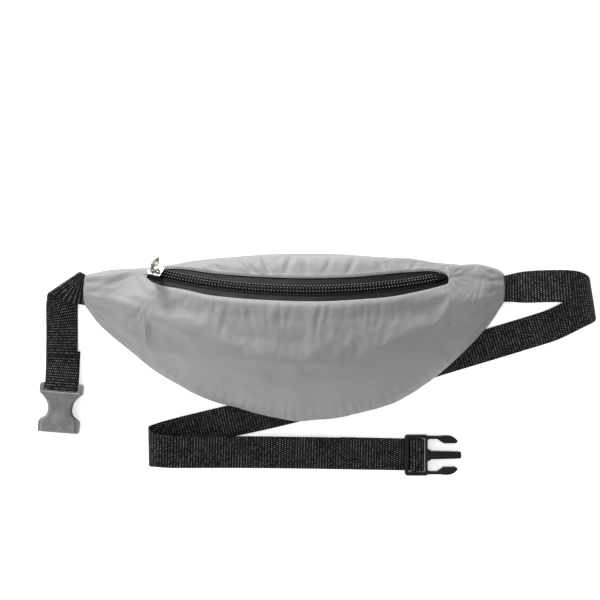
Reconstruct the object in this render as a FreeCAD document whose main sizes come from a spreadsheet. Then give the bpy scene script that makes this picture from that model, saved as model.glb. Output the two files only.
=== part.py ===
import FreeCAD, Part
import math
import os
import Sketcher
from FreeCAD import Placement, Rotation, Vector

# Waist bag lying on its back. +Z up, +X along the bag's length, +Y towards the zip side.
# The origin is under the middle of the bag body, on the surface that the bag lies on.
# All lengths are in millimetres.

doc = FreeCAD.newDocument("waist_bag")

# ---------------------------------------------------------------- driving dimensions
SIZES = {
    "half_length": 163.6,       # bag body, middle to end
    "half_height": 64.35,       # bag body, middle to top or bottom edge
    "bag_depth": 52.0,          # crown of the stuffed bag above its back
    "end_depth": 11.0,          # thickness of the bag body at its two ends
    "seam_height": 5.0,         # seam between front and back panels
    "fabric": 1.2,              # fabric with its seam allowance
    "back_trim": 0.2,           # cut off the loft's underside to leave a plane
    "butt_gap": 0.3,            # gap between pieces that meet
    "zip_middle_x": 11.3,
    "zip_half_chord": 115.0,    # closed zip, middle to end
    "zip_end_y": 49.2,
    "zip_end_z": 15.5,
    "zip_sag_y": 13.2,          # the middle of the zip lies this much lower in Y
    "zip_rise_z": 24.0,         # and this much higher in Z
    "zip_slope": 35.0,          # tilt of the tape, degrees
    "tape_thick": 0.6,
    "tape_gap": 2.8,            # between the two tapes, under the coils
    "tape_reach": 13.0,         # tape edge from the middle of the chain
    "coil_width": 2.9,
    "coil_height": 2.2,
    "slider_width": 9.0,
    "slider_length": 12.5,
    "plate": 1.1,               # slider's plates
    "tab_length": 22.0,
    "tab_width": 8.0,
    "tab_thick": 1.2,
    "webbing": 25.0,
    "webbing_thick": 1.3,
    "female_width": 33.4,
    "female_body": 10.0,
    "female_ear": 7.0,
    "female_length": 36.0,      # bar centre to mouth
    "female_waist": 17.9,
    "female_mouth": 31.7,
    "bar_radius": 1.75,
    "socket_width": 27.0,
    "socket_height": 6.0,
    "male_width": 32.0,
    "male_thick": 5.4,
    "male_rear": 8.0,           # frame behind the centre bar
    "male_rear_bar": 2.9,
    "male_front": 9.9,          # frame ahead of the centre bar
    "male_front_bar": 1.9,
    "arm_reach": 33.6,          # arm tip from the centre bar
    "guide_reach": 36.3,        # guide tip from the centre bar
}

sheet = doc.addObject("Spreadsheet::Sheet", "Sizes")
for row, (alias, value) in enumerate(SIZES.items(), start=1):
    sheet.set(f"A{row}", alias)
    sheet.set(f"B{row}", str(value))
    sheet.setAlias(f"B{row}", alias)
doc.recompute()


def size(alias):
    return float(sheet.get(alias))


# ---------------------------------------------------------------- small helpers
EXPORTED = []


def keep(obj, label):
    """Name a finished sub-part; its label names its file."""
    obj.Label = label
    EXPORTED.append(obj)
    return obj


def origin_plane(body, role):
    return next(f for f in body.Origin.OriginFeatures if f.Role == role)


def sketch_on(body, role, name):
    sketch = body.newObject("Sketcher::SketchObject", name)
    sketch.AttachmentSupport = (origin_plane(body, role), [""])
    sketch.MapMode = "FlatFace"
    return sketch


def bind(obj, prop, expression):
    obj.setExpression(prop, expression)


def outline(sketch, corners):
    """Closed outline. A corner given as (middle, end) is reached by an arc through middle."""
    points = [c[1] if isinstance(c[0], tuple) else c for c in corners]
    for i, corner in enumerate(corners):
        start = Vector(*points[i - 1], 0)
        end = Vector(*points[i], 0)
        if isinstance(corner[0], tuple):
            sketch.addGeometry(Part.Arc(start, Vector(*corner[0], 0), end), False)
        else:
            sketch.addGeometry(Part.LineSegment(start, end), False)


def rectangle(sketch, left, right, low, high):
    """Rectangle whose four sides are bound to expressions."""
    start = sketch.GeometryCount
    p = [Vector(0, 0, 0), Vector(1, 0, 0), Vector(1, 1, 0), Vector(0, 1, 0)]
    for i in range(4):
        sketch.addGeometry(Part.LineSegment(p[i], p[(i + 1) % 4]), False)
    for i in range(4):
        sketch.addConstraint(Sketcher.Constraint("Coincident", start + i, 2, start + (i + 1) % 4, 1))
    for i, kind in enumerate(("Horizontal", "Vertical", "Horizontal", "Vertical")):
        sketch.addConstraint(Sketcher.Constraint(kind, start + i))
    for kind, edge, end, expression in (("DistanceX", 0, 1, left), ("DistanceX", 0, 2, right),
                                        ("DistanceY", 0, 1, low), ("DistanceY", 2, 1, high)):
        index = sketch.addConstraint(Sketcher.Constraint(kind, -1, 1, start + edge, end, 1.0))
        bind(sketch, f"Constraints[{index}]", expression)


def pad(body, sketch, length, midplane=True, name="Pad"):
    feature = body.newObject("PartDesign::Pad", name)
    feature.Profile = sketch
    feature.Midplane = midplane
    bind(feature, "Length", length)
    return feature


def pocket(body, sketch, length, name="Pocket"):
    feature = body.newObject("PartDesign::Pocket", name)
    feature.Profile = sketch
    feature.Midplane = True
    bind(feature, "Length", length)
    return feature


def round_edges(body, radius, chosen):
    """Fillet the edges of the body's tip for which chosen(edge) is true."""
    doc.recompute()
    tip = body.Tip
    names = [f"Edge{i}" for i, edge in enumerate(tip.Shape.Edges, start=1) if chosen(edge)]
    fillet = body.newObject("PartDesign::Fillet", "Round")
    fillet.Base = (tip, names)
    fillet.Radius = radius
    doc.recompute()
    return fillet


# ---------------------------------------------------------------- the zip's arc
# The chain follows a circle, so the slider turns about that circle's axis.
THROUGH = Vector(0, -size("zip_sag_y"), size("zip_rise_z"))
SAGITTA = THROUGH.Length
RADIUS = (size("zip_half_chord") ** 2 + SAGITTA ** 2) / (2 * SAGITTA)
OUTWARD = Vector(THROUGH).normalize()
AXIS = Vector(0, OUTWARD.z, -OUTWARD.y)
MIDDLE = Vector(size("zip_middle_x"), size("zip_end_y"), size("zip_end_z")) + THROUGH
CENTRE = MIDDLE - OUTWARD * RADIUS
HALF_SWEEP = math.degrees(math.asin(size("zip_half_chord") / RADIUS))
SLOPE = math.radians(size("zip_slope"))
ACROSS = Vector(0, math.cos(SLOPE), -math.sin(SLOPE))
NORMAL = Vector(0, math.sin(SLOPE), math.cos(SLOPE))
ZIP_PLACEMENT = Placement(CENTRE, Rotation(OUTWARD, Vector(1, 0, 0), AXIS, "ZXY"))


def arc_point(x):
    """Point of the chain's circle at the given X."""
    angle = math.asin((x - size("zip_middle_x")) / RADIUS)
    return CENTRE + Vector(1, 0, 0) * (RADIUS * math.sin(angle)) + OUTWARD * (RADIUS * math.cos(angle))


def arc_section(across_low, across_high, normal_low, normal_high):
    """Corners of a rectangle across the chain, in the plane of the circle's axis."""
    corners = []
    for across, normal in ((across_low, normal_low), (across_high, normal_low),
                           (across_high, normal_high), (across_low, normal_high)):
        offset = ACROSS * across + NORMAL * normal
        corners.append((RADIUS + offset.dot(OUTWARD), offset.dot(AXIS)))
    return corners


def arc_bar(label, corners, from_deg, to_deg):
    """A bar of the given section, turned about the zip's axis."""
    body = doc.addObject("PartDesign::Body", label)
    sketch = sketch_on(body, "XZ_Plane", "Section")
    outline(sketch, corners)
    turn = body.newObject("PartDesign::Revolution", "Turn")
    turn.Profile = sketch
    turn.ReferenceAxis = (sketch, ["V_Axis"])
    turn.Midplane = True
    turn.Angle = to_deg - from_deg
    middle = Rotation(AXIS, (from_deg + to_deg) / 2)
    body.Placement = Placement(CENTRE, middle.multiply(ZIP_PLACEMENT.Rotation))
    return body


# ---------------------------------------------------------------- bag body
# Across the length at X: lower edge, upper edge and crown height of the stuffed body.
STATIONS = (
    (-1.0, 25.1, 48.5, size("end_depth")),
    (-0.917, 8.5, 51.2, 17.0),
    (-0.764, -12.2, 54.9, 27.0),
    (-0.550, -36.0, 57.8, 38.0),
    (-0.275, -52.8, 62.0, 48.5),
    (0.0, -64.1, size("half_height"), size("bag_depth")),
    (0.275, -60.6, 63.6, 50.0),
    (0.550, -43.8, 60.2, 41.0),
    (0.764, -17.8, 56.2, 29.0),
    (0.917, 8.2, 55.0, 18.0),
    (1.0, 27.0, 50.5, size("end_depth")),
)


# Points of the front's profile, as shares of the section's width and of its height.
LOWER_KNEE = (0.09, 0.52)
CROWN_AT = 0.42
BELOW_ZIP, ABOVE_ZIP = (0.62, 0.92), (0.86, 0.68)   # in the two ends, past the zip
ZIP_REGION = 0.8            # share of the half length in which the profile follows the zip
FACING_LOW, FACING_HIGH = 7.0, 9.0                  # flat facing beside the chain
EDGE_CLEAR = 2.5            # from the facing to the body's upper edge, at least


def body_section(x, low, high, crown, inset):
    """Closed section of the bag body: flat back, rounded seams, swollen front."""
    seam = size("seam_height")
    width = high - low
    low, high, top = low + inset, high - inset, crown - inset
    if abs(x) < ZIP_REGION * size("half_length"):
        chain = arc_point(x) - NORMAL * inset
        reach = min(FACING_HIGH, (high - chain.y - EDGE_CLEAR) / ACROSS.y)
        below, above = chain - ACROSS * FACING_LOW, chain + ACROSS * reach
    else:
        below = Vector(x, low + BELOW_ZIP[0] * width, BELOW_ZIP[1] * top)
        above = Vector(x, low + ABOVE_ZIP[0] * width, ABOVE_ZIP[1] * top)
    points = [
        Vector(x, low, seam),
        Vector(x, low + LOWER_KNEE[0] * width, seam + LOWER_KNEE[1] * (top - seam)),
        Vector(x, low + CROWN_AT * width, top),
        Vector(x, below.y, below.z),
        Vector(x, above.y, above.z),
        Vector(x, high, seam),
    ]
    front = Part.BSplineCurve()
    front.interpolate(Points=points, InitialTangent=Vector(0, 0, 1), FinalTangent=Vector(0, 0, -1))
    floor = inset - size("back_trim")
    turn = seam - floor
    corner = turn * math.sqrt(0.5)
    upper = Part.Arc(points[-1], Vector(x, high - turn + corner, seam - corner),
                     Vector(x, high - turn, floor))
    back = Part.LineSegment(Vector(x, high - turn, floor), Vector(x, low + turn, floor))
    lower = Part.Arc(Vector(x, low + turn, floor), Vector(x, low + turn - corner, seam - corner),
                     points[0])
    return Part.Wire([curve.toShape() for curve in (front, upper, back, lower)])


def body_loft(name, inset):
    """Solid through all the sections; the inner one is inset by the fabric's thickness."""
    sections = []
    for i, (along, low, high, crown) in enumerate(STATIONS):
        x = along * size("half_length")
        x -= math.copysign(inset, along) if abs(along) == 1.0 else 0.0
        section = doc.addObject("Part::Feature", f"{name}_section_{i}")
        section.Shape = body_section(x, low, high, crown, inset)
        sections.append(section)
    loft = doc.addObject("Part::Loft", name)
    loft.Sections = sections
    loft.Solid = True
    return loft


def box(name, low, high, placement=None):
    """Part::Box between two corners."""
    solid = doc.addObject("Part::Box", name)
    solid.Length, solid.Width, solid.Height = (high[i] - low[i] for i in range(3))
    solid.Placement = (placement or Placement()).multiply(Placement(Vector(*low), Rotation()))
    return solid


def cut(name, base, tool):
    result = doc.addObject("Part::Cut", name)
    result.Base, result.Tool = base, tool
    return result


def common(name, base, tool):
    result = doc.addObject("Part::Common", name)
    result.Base, result.Tool = base, tool
    return result


# The long strap passes under the back in a straight, shallow groove.
UNDER_RIGHT = Vector(195.6, 7.5, 0.95)
UNDER_LEFT = Vector(-50.3, -64.9, 0.95)
GROOVE_TURN = math.degrees(math.atan2(UNDER_RIGHT.y - UNDER_LEFT.y, UNDER_RIGHT.x - UNDER_LEFT.x))
GROOVE = Placement((UNDER_RIGHT + UNDER_LEFT) * 0.5, Rotation(Vector(0, 0, 1), GROOVE_TURN))
GROOVE_WIDTH = size("webbing") + 3.0
GROOVE_DEPTH = 1.9
GROOVE_LENGTH = 330.0
GROOVE_BELOW = 8.0          # the bar that cuts the groove reaches this far down


def groove(name, extra):
    """The groove as a bar; the inner one is larger by the fabric's thickness."""
    half = GROOVE_WIDTH / 2 + extra
    return box(name, (-GROOVE_LENGTH / 2, -half, -GROOVE_BELOW),
               (GROOVE_LENGTH / 2, half, GROOVE_DEPTH - UNDER_LEFT.z + extra), GROOVE)


def slot_prism(name, inset):
    """Upright prism of the zip slot: two long arcs that close towards the slider."""
    body = doc.addObject("PartDesign::Body", name)
    sketch = sketch_on(body, "XY_Plane", "Slot")
    outline(sketch, [
        (-118.0 + inset, 44.6 + inset),
        ((5.0, 28.7 + inset), (117.0 - inset, 40.4 + inset)),
        ((119.6 - inset, 43.0), (119.8 - inset, 46.0)),
        ((118.6 - inset, 49.6 - inset), (114.0 - inset, 51.0 - inset)),
        ((8.0, 45.7 - inset), (-96.0 + inset, 53.0 - inset)),
        (-118.0 + inset, 53.2 - inset),
    ])
    pad(body, sketch, "2 * Sizes.bag_depth + 20", name="Prism")
    return body


FAR = 400.0
under_floor = box("under_floor", (-FAR, -FAR, -FAR), (FAR, FAR, 0.0))
flat_backed = cut("flat_backed", body_loft("outer_loft", 0.0), under_floor)
outer = cut("outer_body", flat_backed, groove("outer_groove", 0.0))
inner = cut("inner_body", body_loft("inner_loft", size("fabric")), groove("inner_groove", size("fabric")))
shell = cut("body_shell", outer, inner)

below_seam = box("below_seam", (-FAR, -FAR, -FAR), (FAR, FAR, size("seam_height")))
above_seam = box("above_seam", (-FAR, -FAR, size("seam_height")), (FAR, FAR, FAR))
keep(common("back_common", shell, below_seam), "back_panel")

SLIDER_AT = -27.5           # slider's place on the zip's circle, degrees, zip closed
HALF_WIDE = size("slider_width") / 2
SLIDER_END = math.degrees(size("slider_length") / 2 / RADIUS)
STOP_FROM, STOP_TO = 22.3, 24.0                   # degrees
PATH_CLEAR = 0.4            # beside the slider, all along its travel
PATH_LOW, PATH_HIGH = -2.4, 12.0
slider_path = arc_bar("slider_path",
                      arc_section(-HALF_WIDE - PATH_CLEAR, HALF_WIDE + PATH_CLEAR, PATH_LOW, PATH_HIGH),
                      SLIDER_AT - SLIDER_END - 0.1, HALF_SWEEP)
front_whole = common("front_whole", shell, above_seam)
front_slotted = cut("front_slotted", front_whole, slot_prism("slot_prism", 0.0))
keep(cut("front_cleared", front_slotted, slider_path), "front_panel")


# ---------------------------------------------------------------- zip
TAPE_PAST_SLIDER, TAPE_PAST_STOP = 3.9, 1.2         # degrees beyond the chain's two ends
COIL_GAP = 0.1              # from the middle of the chain
COIL_LIFT = 0.03            # above the tape
COIL_PAST = math.degrees(2.4 / RADIUS)              # the coils end inside the slider
STOP_ACROSS, STOP_LOW, STOP_HIGH, STOP_ROUND = 3.2, 0.35, 2.9, 0.9


def tape(label, across_low, across_high):
    half = size("tape_thick") / 2
    bar = arc_bar(f"{label}_bar", arc_section(across_low, across_high, -half, half),
                  -HALF_SWEEP - TAPE_PAST_SLIDER, HALF_SWEEP + TAPE_PAST_STOP)
    return keep(common(f"{label}_cut", bar, slot_prism(f"{label}_limit", size("butt_gap"))), label)


def coil(label, side):
    """Woven-in nylon coil of one tape, as its envelope."""
    near = COIL_GAP * side
    far = (COIL_GAP + size("coil_width")) * side
    floor = size("tape_thick") / 2 + COIL_LIFT
    section = arc_section(min(near, far), max(near, far), floor, floor + size("coil_height"))
    return keep(arc_bar(label, section, SLIDER_AT - COIL_PAST, STOP_FROM - 0.1), label)


tape("zipper_tape_upper", size("tape_gap") / 2, size("tape_reach"))
tape("zipper_tape_lower", -size("tape_reach"), -size("tape_gap") / 2)
coil("zipper_coil_upper", 1)
coil("zipper_coil_lower", -1)
stop = arc_bar("zipper_bottom_stop", arc_section(-STOP_ACROSS, STOP_ACROSS, STOP_LOW, STOP_HIGH),
               STOP_FROM, STOP_TO)
round_edges(stop, STOP_ROUND, lambda edge: 5.0 < edge.Length < 9.0 and edge.CenterOfMass.z > 1.0)
keep(stop, "zipper_bottom_stop")


def on_zip(angle):
    """Frame of the slider: X along the chain, Y across it, Z out of the bag."""
    turn = Rotation(AXIS, angle)
    along = turn.multVec(Vector(1, 0, 0))
    across = turn.multVec(ACROSS)
    normal = turn.multVec(NORMAL)
    place = CENTRE + turn.multVec(OUTWARD) * RADIUS
    return Placement(place, Rotation(along, across, normal, "ZXY"))


SLIDER = on_zip(SLIDER_AT)
PLATE_LOW = 2.9             # underside of the upper plate above the tape's middle
LOWER_TOP = -0.6            # top of the lower plate, under the tapes
FLANGE_LOW, FLANGE_THICK = 0.75, 0.65
POST_ROOT = 0.2             # the post runs this far into the lower plate


def slider_body():
    body = doc.addObject("PartDesign::Body", "zipper_slider_body")
    half = HALF_WIDE
    long_half = size("slider_length") / 2
    plate = [
        ((-long_half + 0.3, -2.6), (-long_half + 1.6, -half)),
        (long_half - 0.8, -half + 0.3),
        ((long_half - 0.2, -half + 0.6), (long_half, -half + 1.2)),
        (long_half, half - 1.2),
        ((long_half - 0.2, half - 0.6), (long_half - 0.8, half - 0.3)),
        (-long_half + 1.6, half),
        ((-long_half + 0.3, 2.6), (-long_half, 0.9)),
        (-long_half, -0.9),
    ]
    upper = sketch_on(body, "XY_Plane", "UpperPlate")
    outline(upper, plate)
    upper.AttachmentOffset = Placement(Vector(0, 0, PLATE_LOW), Rotation())
    pad(body, upper, "Sizes.plate", midplane=False, name="Upper")
    post = sketch_on(body, "XY_Plane", "PostOutline")
    rectangle(post, "-5.6", "-3.0", "-1", "1")
    post.AttachmentOffset = Placement(Vector(0, 0, LOWER_TOP - POST_ROOT), Rotation())
    pad(body, post, str(PLATE_LOW - LOWER_TOP + 2 * POST_ROOT), midplane=False, name="Post")
    lower = sketch_on(body, "XY_Plane", "LowerPlate")
    outline(lower, plate)
    lower.AttachmentOffset = Placement(Vector(0, 0, LOWER_TOP - size("plate")), Rotation())
    pad(body, lower, "Sizes.plate", midplane=False, name="Lower")
    for side in (-1, 1):
        flange = sketch_on(body, "XY_Plane", f"Flange{side + 1}")
        edges = sorted((side * (half - 0.35), side * (half - 0.35 - FLANGE_THICK)))
        rectangle(flange, "-3.5", "5.4", str(edges[0]), str(edges[1]))
        flange.AttachmentOffset = Placement(Vector(0, 0, FLANGE_LOW), Rotation())
        pad(body, flange, str(PLATE_LOW - FLANGE_LOW + 0.1), midplane=False, name=f"Wall{side + 1}")
    body.Placement = SLIDER
    return keep(body, "zipper_slider_body")


ARCH_BASE = PLATE_LOW + size("plate") + 0.05
ARCH_LEFT, ARCH_RIGHT = -4.9, 3.9
ARCH_CLEAR = 2.3            # height under the bridge
ARCH_BAR = 1.2
ARCH_WIDE = 2.2
PULL_AT = Vector((ARCH_LEFT + ARCH_RIGHT) / 2, 0, ARCH_BASE - 0.05 + ARCH_CLEAR / 2)


def slider_bridge():
    """Arch over the upper plate that holds the pull."""
    body = doc.addObject("PartDesign::Body", "zipper_slider_bridge")
    sketch = sketch_on(body, "XZ_Plane", "Arch")
    left, right, top = ARCH_LEFT, ARCH_RIGHT, ARCH_BASE + ARCH_CLEAR + ARCH_BAR
    outline(sketch, [
        (left, ARCH_BASE),
        (left, top - 1.4),
        ((left + 0.41, top - 0.41), (left + 1.4, top)),
        (right - 1.4, top),
        ((right - 0.41, top - 0.41), (right, top - 1.4)),
        (right, ARCH_BASE),
        (right - ARCH_BAR, ARCH_BASE),
        (right - ARCH_BAR, top - ARCH_BAR - 0.5),
        ((right - ARCH_BAR - 0.15, top - ARCH_BAR - 0.15), (right - ARCH_BAR - 0.5, top - ARCH_BAR)),
        (left + ARCH_BAR + 0.5, top - ARCH_BAR),
        ((left + ARCH_BAR + 0.15, top - ARCH_BAR - 0.15), (left + ARCH_BAR, top - ARCH_BAR - 0.5)),
        (left + ARCH_BAR, ARCH_BASE),
    ])
    pad(body, sketch, str(ARCH_WIDE), name="Arch")
    body.Placement = SLIDER
    return keep(body, "zipper_slider_bridge")


PULL_LIFT = math.radians(62.0)      # the pull stands up from the chain
PULL_TWIST = math.radians(20.0)     # and is turned a little on its bridge
EYE_HALF, EYE_END = 2.8, 5.4


def pull_tab():
    """Plate with an eye, drawn in XY with its crossbar on X, then stood up on the slider."""
    body = doc.addObject("PartDesign::Body", "zipper_pull_tab")
    half, reach, bar = size("tab_width") / 2, size("tab_length"), 0.65
    sketch = sketch_on(body, "XY_Plane", "Plate")
    outline(sketch, [
        (-half + 0.4, -bar),
        (half - 0.4, -bar),
        (half - 0.4, 6.0),
        (half, 9.0),
        (half, reach - 2.6),
        ((half - 0.8, reach - 0.8), (half - 2.6, reach)),
        (-half + 2.6, reach),
        ((-half + 0.8, reach - 0.8), (-half, reach - 2.6)),
        (-half, 9.0),
        (-half + 0.4, 6.0),
    ])
    pad(body, sketch, "Sizes.tab_thick", name="Plate")
    eye = sketch_on(body, "XY_Plane", "Eye")
    rectangle(eye, str(-EYE_HALF), str(EYE_HALF), str(bar), str(EYE_END))
    pocket(body, eye, "4 * Sizes.tab_thick", name="EyePocket")
    along = Vector(math.cos(PULL_TWIST), -math.sin(PULL_TWIST), 0)
    width = Vector(math.sin(PULL_TWIST), math.cos(PULL_TWIST), 0)
    stand = along * math.cos(PULL_LIFT) + Vector(0, 0, 1) * math.sin(PULL_LIFT)
    turn = Rotation(width, stand, width.cross(stand), "XYZ")
    body.Placement = SLIDER.multiply(Placement(PULL_AT, turn))
    return keep(body, "zipper_pull_tab")


slider_body()
slider_bridge()
pull_tab()


# ---------------------------------------------------------------- female buckle half
# Drawn about its strap bar: X along the bar, -Y towards the mouth, Z up.
FEMALE_TURN = -4.45
FEMALE_BAR = Vector(-182.05, -38.3, 5.2)
SLOT_EDGE = -4.3            # edge of the strap slot beside the bar
EAR_CLEAR = 0.9             # between the webbing and each ear
SOCKET_FLOOR = -11.5


def female_half():
    body = doc.addObject("PartDesign::Body", "buckle_female")
    ear, waist, mouth = (size(a) / 2 for a in ("female_width", "female_waist", "female_mouth"))
    deep = -size("female_length")
    ear_in = size("webbing") / 2 + EAR_CLEAR
    for name, inset, thick in (("Housing", 0.0, "Sizes.female_body - 2.4"),
                               ("Plates", 1.0, "Sizes.female_body")):
        side_in = 2.6 * inset
        housing = sketch_on(body, "XY_Plane", name)
        outline(housing, [
            (-ear + 0.6 + inset, -4.2),
            (-ear + inset, -5.4),
            ((-ear + 3.9 + inset, -8.8), (-waist - 0.7 + inset, -13.4)),
            (-waist + inset, -17.0),
            ((-waist - 0.3 + inset, -20.6), (-waist - 1.5 + inset, -23.2)),
            (-mouth + 1.2 + side_in, -26.0),
            (-mouth + side_in, -27.8),
            (-mouth + side_in, deep),
            (mouth - side_in, deep),
            (mouth - side_in, -27.8),
            (mouth - 1.2 - side_in, -26.0),
            (waist + 1.5 - inset, -23.2),
            ((waist + 0.3 - inset, -20.6), (waist - inset, -17.0)),
            (waist + 0.7 - inset, -13.4),
            ((ear - 3.9 - inset, -8.8), (ear - inset, -5.4)),
            (ear - 0.6 - inset, -4.2),
        ])
        pad(body, housing, thick, name=f"{name}Pad")
    ears = sketch_on(body, "XY_Plane", "Ears")
    for side in (-1, 1):
        outline(ears, [
            (side * ear_in, -7.5),
            (side * (ear - 1.6), -6.6),
            (side * ear, -5.0),
            (side * ear, 0.4),
            ((side * (ear - 0.6), 1.8), (side * (ear - 2.0), 2.4)),
            (side * ear_in, 2.4),
        ])
    pad(body, ears, "Sizes.female_ear", name="EarsPad")
    bar = sketch_on(body, "YZ_Plane", "Bar")
    bar.addGeometry(Part.Circle(Vector(0, 0, 0), Vector(0, 0, 1), size("bar_radius")), False)
    pad(body, bar, "Sizes.female_width - 4", name="BarPad")
    root = sketch_on(body, "XY_Plane", "Root")
    rectangle(root, str(-ear + 2.4), str(ear - 2.4), "-7.2", str(SLOT_EDGE))
    pad(body, root, "Sizes.female_body - 1.4", name="RootPad")
    socket = sketch_on(body, "XY_Plane", "Socket")
    rectangle(socket, "-Sizes.socket_width / 2", "Sizes.socket_width / 2",
              "-Sizes.female_length - 5", str(SOCKET_FLOOR))
    pocket(body, socket, "Sizes.socket_height", name="SocketPocket")
    body.Placement = Placement(FEMALE_BAR, Rotation(Vector(0, 0, 1), FEMALE_TURN))
    return keep(body, "buckle_female")


female_half()

# ---------------------------------------------------------------- male buckle half
# Drawn about its centre bar: X towards the arm tips, Y along the bar, Z up.
MALE_BAR = Vector(94.65, -92.35, 3.3)
ARM_INSIDE, ARM_OUTSIDE = 12.6, 15.1
FLEX_GAP = 0.25
FRAME_CLEAR = 0.6           # between the webbing and each side of the frame
UNDERPASS_DEPTH = 5.2       # cut into the rear bar from below, for the two layers of webbing


def male_frame():
    body = doc.addObject("PartDesign::Body", "buckle_male")
    half, rear, front = size("male_width") / 2, size("male_rear"), size("male_front")
    clear = size("webbing") / 2 + FRAME_CLEAR
    frame = sketch_on(body, "XY_Plane", "Frame")
    outline(frame, [
        ((-rear + 0.6, -half + 0.6), (-rear + 2.0, -half)),
        (front - 1.5, -half),
        ((front - 0.45, -half + 0.45), (front, -half + 1.5)),
        (front, half - 1.5),
        ((front - 0.45, half - 0.45), (front - 1.5, half)),
        (-rear + 2.0, half),
        ((-rear + 0.6, half - 0.6), (-rear, half - 2.0)),
        (-rear, -half + 2.0),
    ])
    pad(body, frame, "Sizes.male_thick", name="FramePad")
    guide = sketch_on(body, "XY_Plane", "Guide")
    tip = size("guide_reach")
    outline(guide, [
        (front - 1.0, -5.6),
        ((front + 1.6, -4.2), (front + 3.0, -3.3)),
        (tip - 1.0, -2.7),
        (tip, -2.0),
        (tip, 2.0),
        (tip - 1.0, 2.7),
        (front + 3.0, 3.3),
        ((front + 1.6, 4.2), (front - 1.0, 5.6)),
    ])
    pad(body, guide, "Sizes.male_thick - 1.2", name="GuidePad")
    window = sketch_on(body, "XY_Plane", "Window")
    rectangle(window, "Sizes.male_rear_bar - Sizes.male_rear", "Sizes.male_front - Sizes.male_front_bar",
              str(-clear), str(clear))
    pocket(body, window, "3 * Sizes.male_thick", name="WindowPocket")
    underpass = sketch_on(body, "XY_Plane", "Underpass")
    underpass.AttachmentOffset = Placement(Vector(0, 0, -size("male_thick") / 2), Rotation())
    rectangle(underpass, "-Sizes.male_rear - 5", "Sizes.male_rear_bar - Sizes.male_rear + 0.1",
              str(-clear), str(clear))
    pocket(body, underpass, str(UNDERPASS_DEPTH), name="UnderpassPocket")
    bar = sketch_on(body, "XZ_Plane", "CentreBar")
    rectangle(bar, "-1.0", "1.0", "-0.6", "0.8")
    pad(body, bar, "Sizes.male_width - 4", name="BarPad")
    body.Placement = Placement(MALE_BAR, Rotation())
    return keep(body, "buckle_male")


def arm(label, side):
    """Spring arm with its hooked head; it bends at its root towards the guide."""
    body = doc.addObject("PartDesign::Body", label)
    root = size("male_front") + FLEX_GAP
    tip = size("arm_reach")
    sketch = sketch_on(body, "XY_Plane", "Outline")
    points = [
        (root, ARM_INSIDE - 0.8),
        ((root + 0.9, ARM_INSIDE - 0.2), (root + 2.4, ARM_INSIDE)),
        (tip - 16.2, ARM_INSIDE),
        (tip - 11.2, 9.2),
        (tip - 3.0, 9.2),
        ((tip - 0.9, 9.8), (tip, 11.0)),
        ((tip - 3.0, 13.9), (tip - 9.6, 15.4)),
        (tip - 12.4, 15.4),
        (tip - 12.8, ARM_OUTSIDE),
        (root + 1.0, ARM_OUTSIDE),
        ((root + 0.3, ARM_OUTSIDE + 0.2), (root, ARM_OUTSIDE + 0.4)),
    ]
    mirrored = [tuple((x, side * y) for x, y in p) if isinstance(p[0], tuple) else (p[0], side * p[1])
                for p in points]
    outline(sketch, mirrored)
    pad(body, sketch, "Sizes.male_thick - 1.0", name="ArmPad")
    body.Placement = Placement(MALE_BAR, Rotation())
    return keep(body, label)


male_frame()
arm("buckle_arm_upper", 1)
arm("buckle_arm_lower", -1)


# ---------------------------------------------------------------- webbing
# A strap is a flat band: at each station of its middle line, a straight line lies across it.
def band(label, stations, thick):
    """Solid band. A station is (x, y, z, angle across in plan, tilt across, width)."""
    middles = [Vector(*s[:3]) for s in stations]
    rows = []
    for i, (_, _, _, plan, tilt, width) in enumerate(stations):
        across = Vector(math.cos(math.radians(plan)), math.sin(math.radians(plan)),
                        math.tan(math.radians(tilt))).normalize()
        before = (middles[i] - middles[i - 1]).normalize() if i else None
        after = (middles[i + 1] - middles[i]).normalize() if i + 1 < len(middles) else None
        first, last = before or after, after or before
        run = (first + last).normalize()
        lean = max(0.35, run.cross(across).Length)
        normal = run.cross(across).normalize()
        mitre = 1.0 / max(0.5, math.sqrt((1 + first.dot(last)) / 2))
        half = across * (width / 2 / lean)
        lift = normal * (thick / 2 * mitre)
        rows.append([middles[i] + half * a + lift * b for a, b in ((1, 1), (-1, 1), (-1, -1), (1, -1))])
    faces = [Part.Face(Part.makePolygon(rows[0] + rows[0][:1])),
             Part.Face(Part.makePolygon(rows[-1] + rows[-1][:1]))]
    for now, then in zip(rows, rows[1:]):
        for k in range(4):
            a, b, c, d = now[k], now[(k + 1) % 4], then[(k + 1) % 4], then[k]
            faces.append(Part.Face(Part.makePolygon([a, b, c, a])))
            faces.append(Part.Face(Part.makePolygon([a, c, d, a])))
    solid = Part.Solid(Part.Shell(faces))
    if solid.Volume < 0:
        solid.reverse()
    strap = doc.addObject("Part::Feature", label)
    strap.Shape = solid
    strap.Placement = Placement()
    return keep(strap, label)


THICK = size("webbing_thick")
WIDE = size("webbing")
LAY = THICK / 2 + 0.2       # middle of webbing that lies on the floor
WRAP = size("bar_radius") + 0.35 + THICK / 2

# Short strap: out of the bag's left end, folded under itself, down to the female half,
# round its bar from above and back underneath, where its end is sewn.
FOLD_AT, FOLD_ANGLE, FOLD_RADIUS = Vector(-180.9, 42.35, 4.1), 34.0, 2.9


def fold_stations():
    """Half turn about a line that lies at FOLD_ANGLE, so that the strap also turns in plan."""
    angle = math.radians(FOLD_ANGLE)
    along = Vector(math.cos(angle), math.sin(angle), 0)
    outward = Vector(-math.sin(angle), math.cos(angle), 0)
    stations = []
    for turn in (90, 60, 30, 0, -30, -60, -90):
        t = math.radians(turn)
        at = (FOLD_AT + outward * (FOLD_RADIUS * (math.cos(t) - 1))
              + along * (FOLD_RADIUS * t * math.tan(angle)))
        stations.append((at.x, at.y, FOLD_AT.z + FOLD_RADIUS * math.sin(t), FOLD_ANGLE, 0, WIDE))
    return stations


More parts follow.
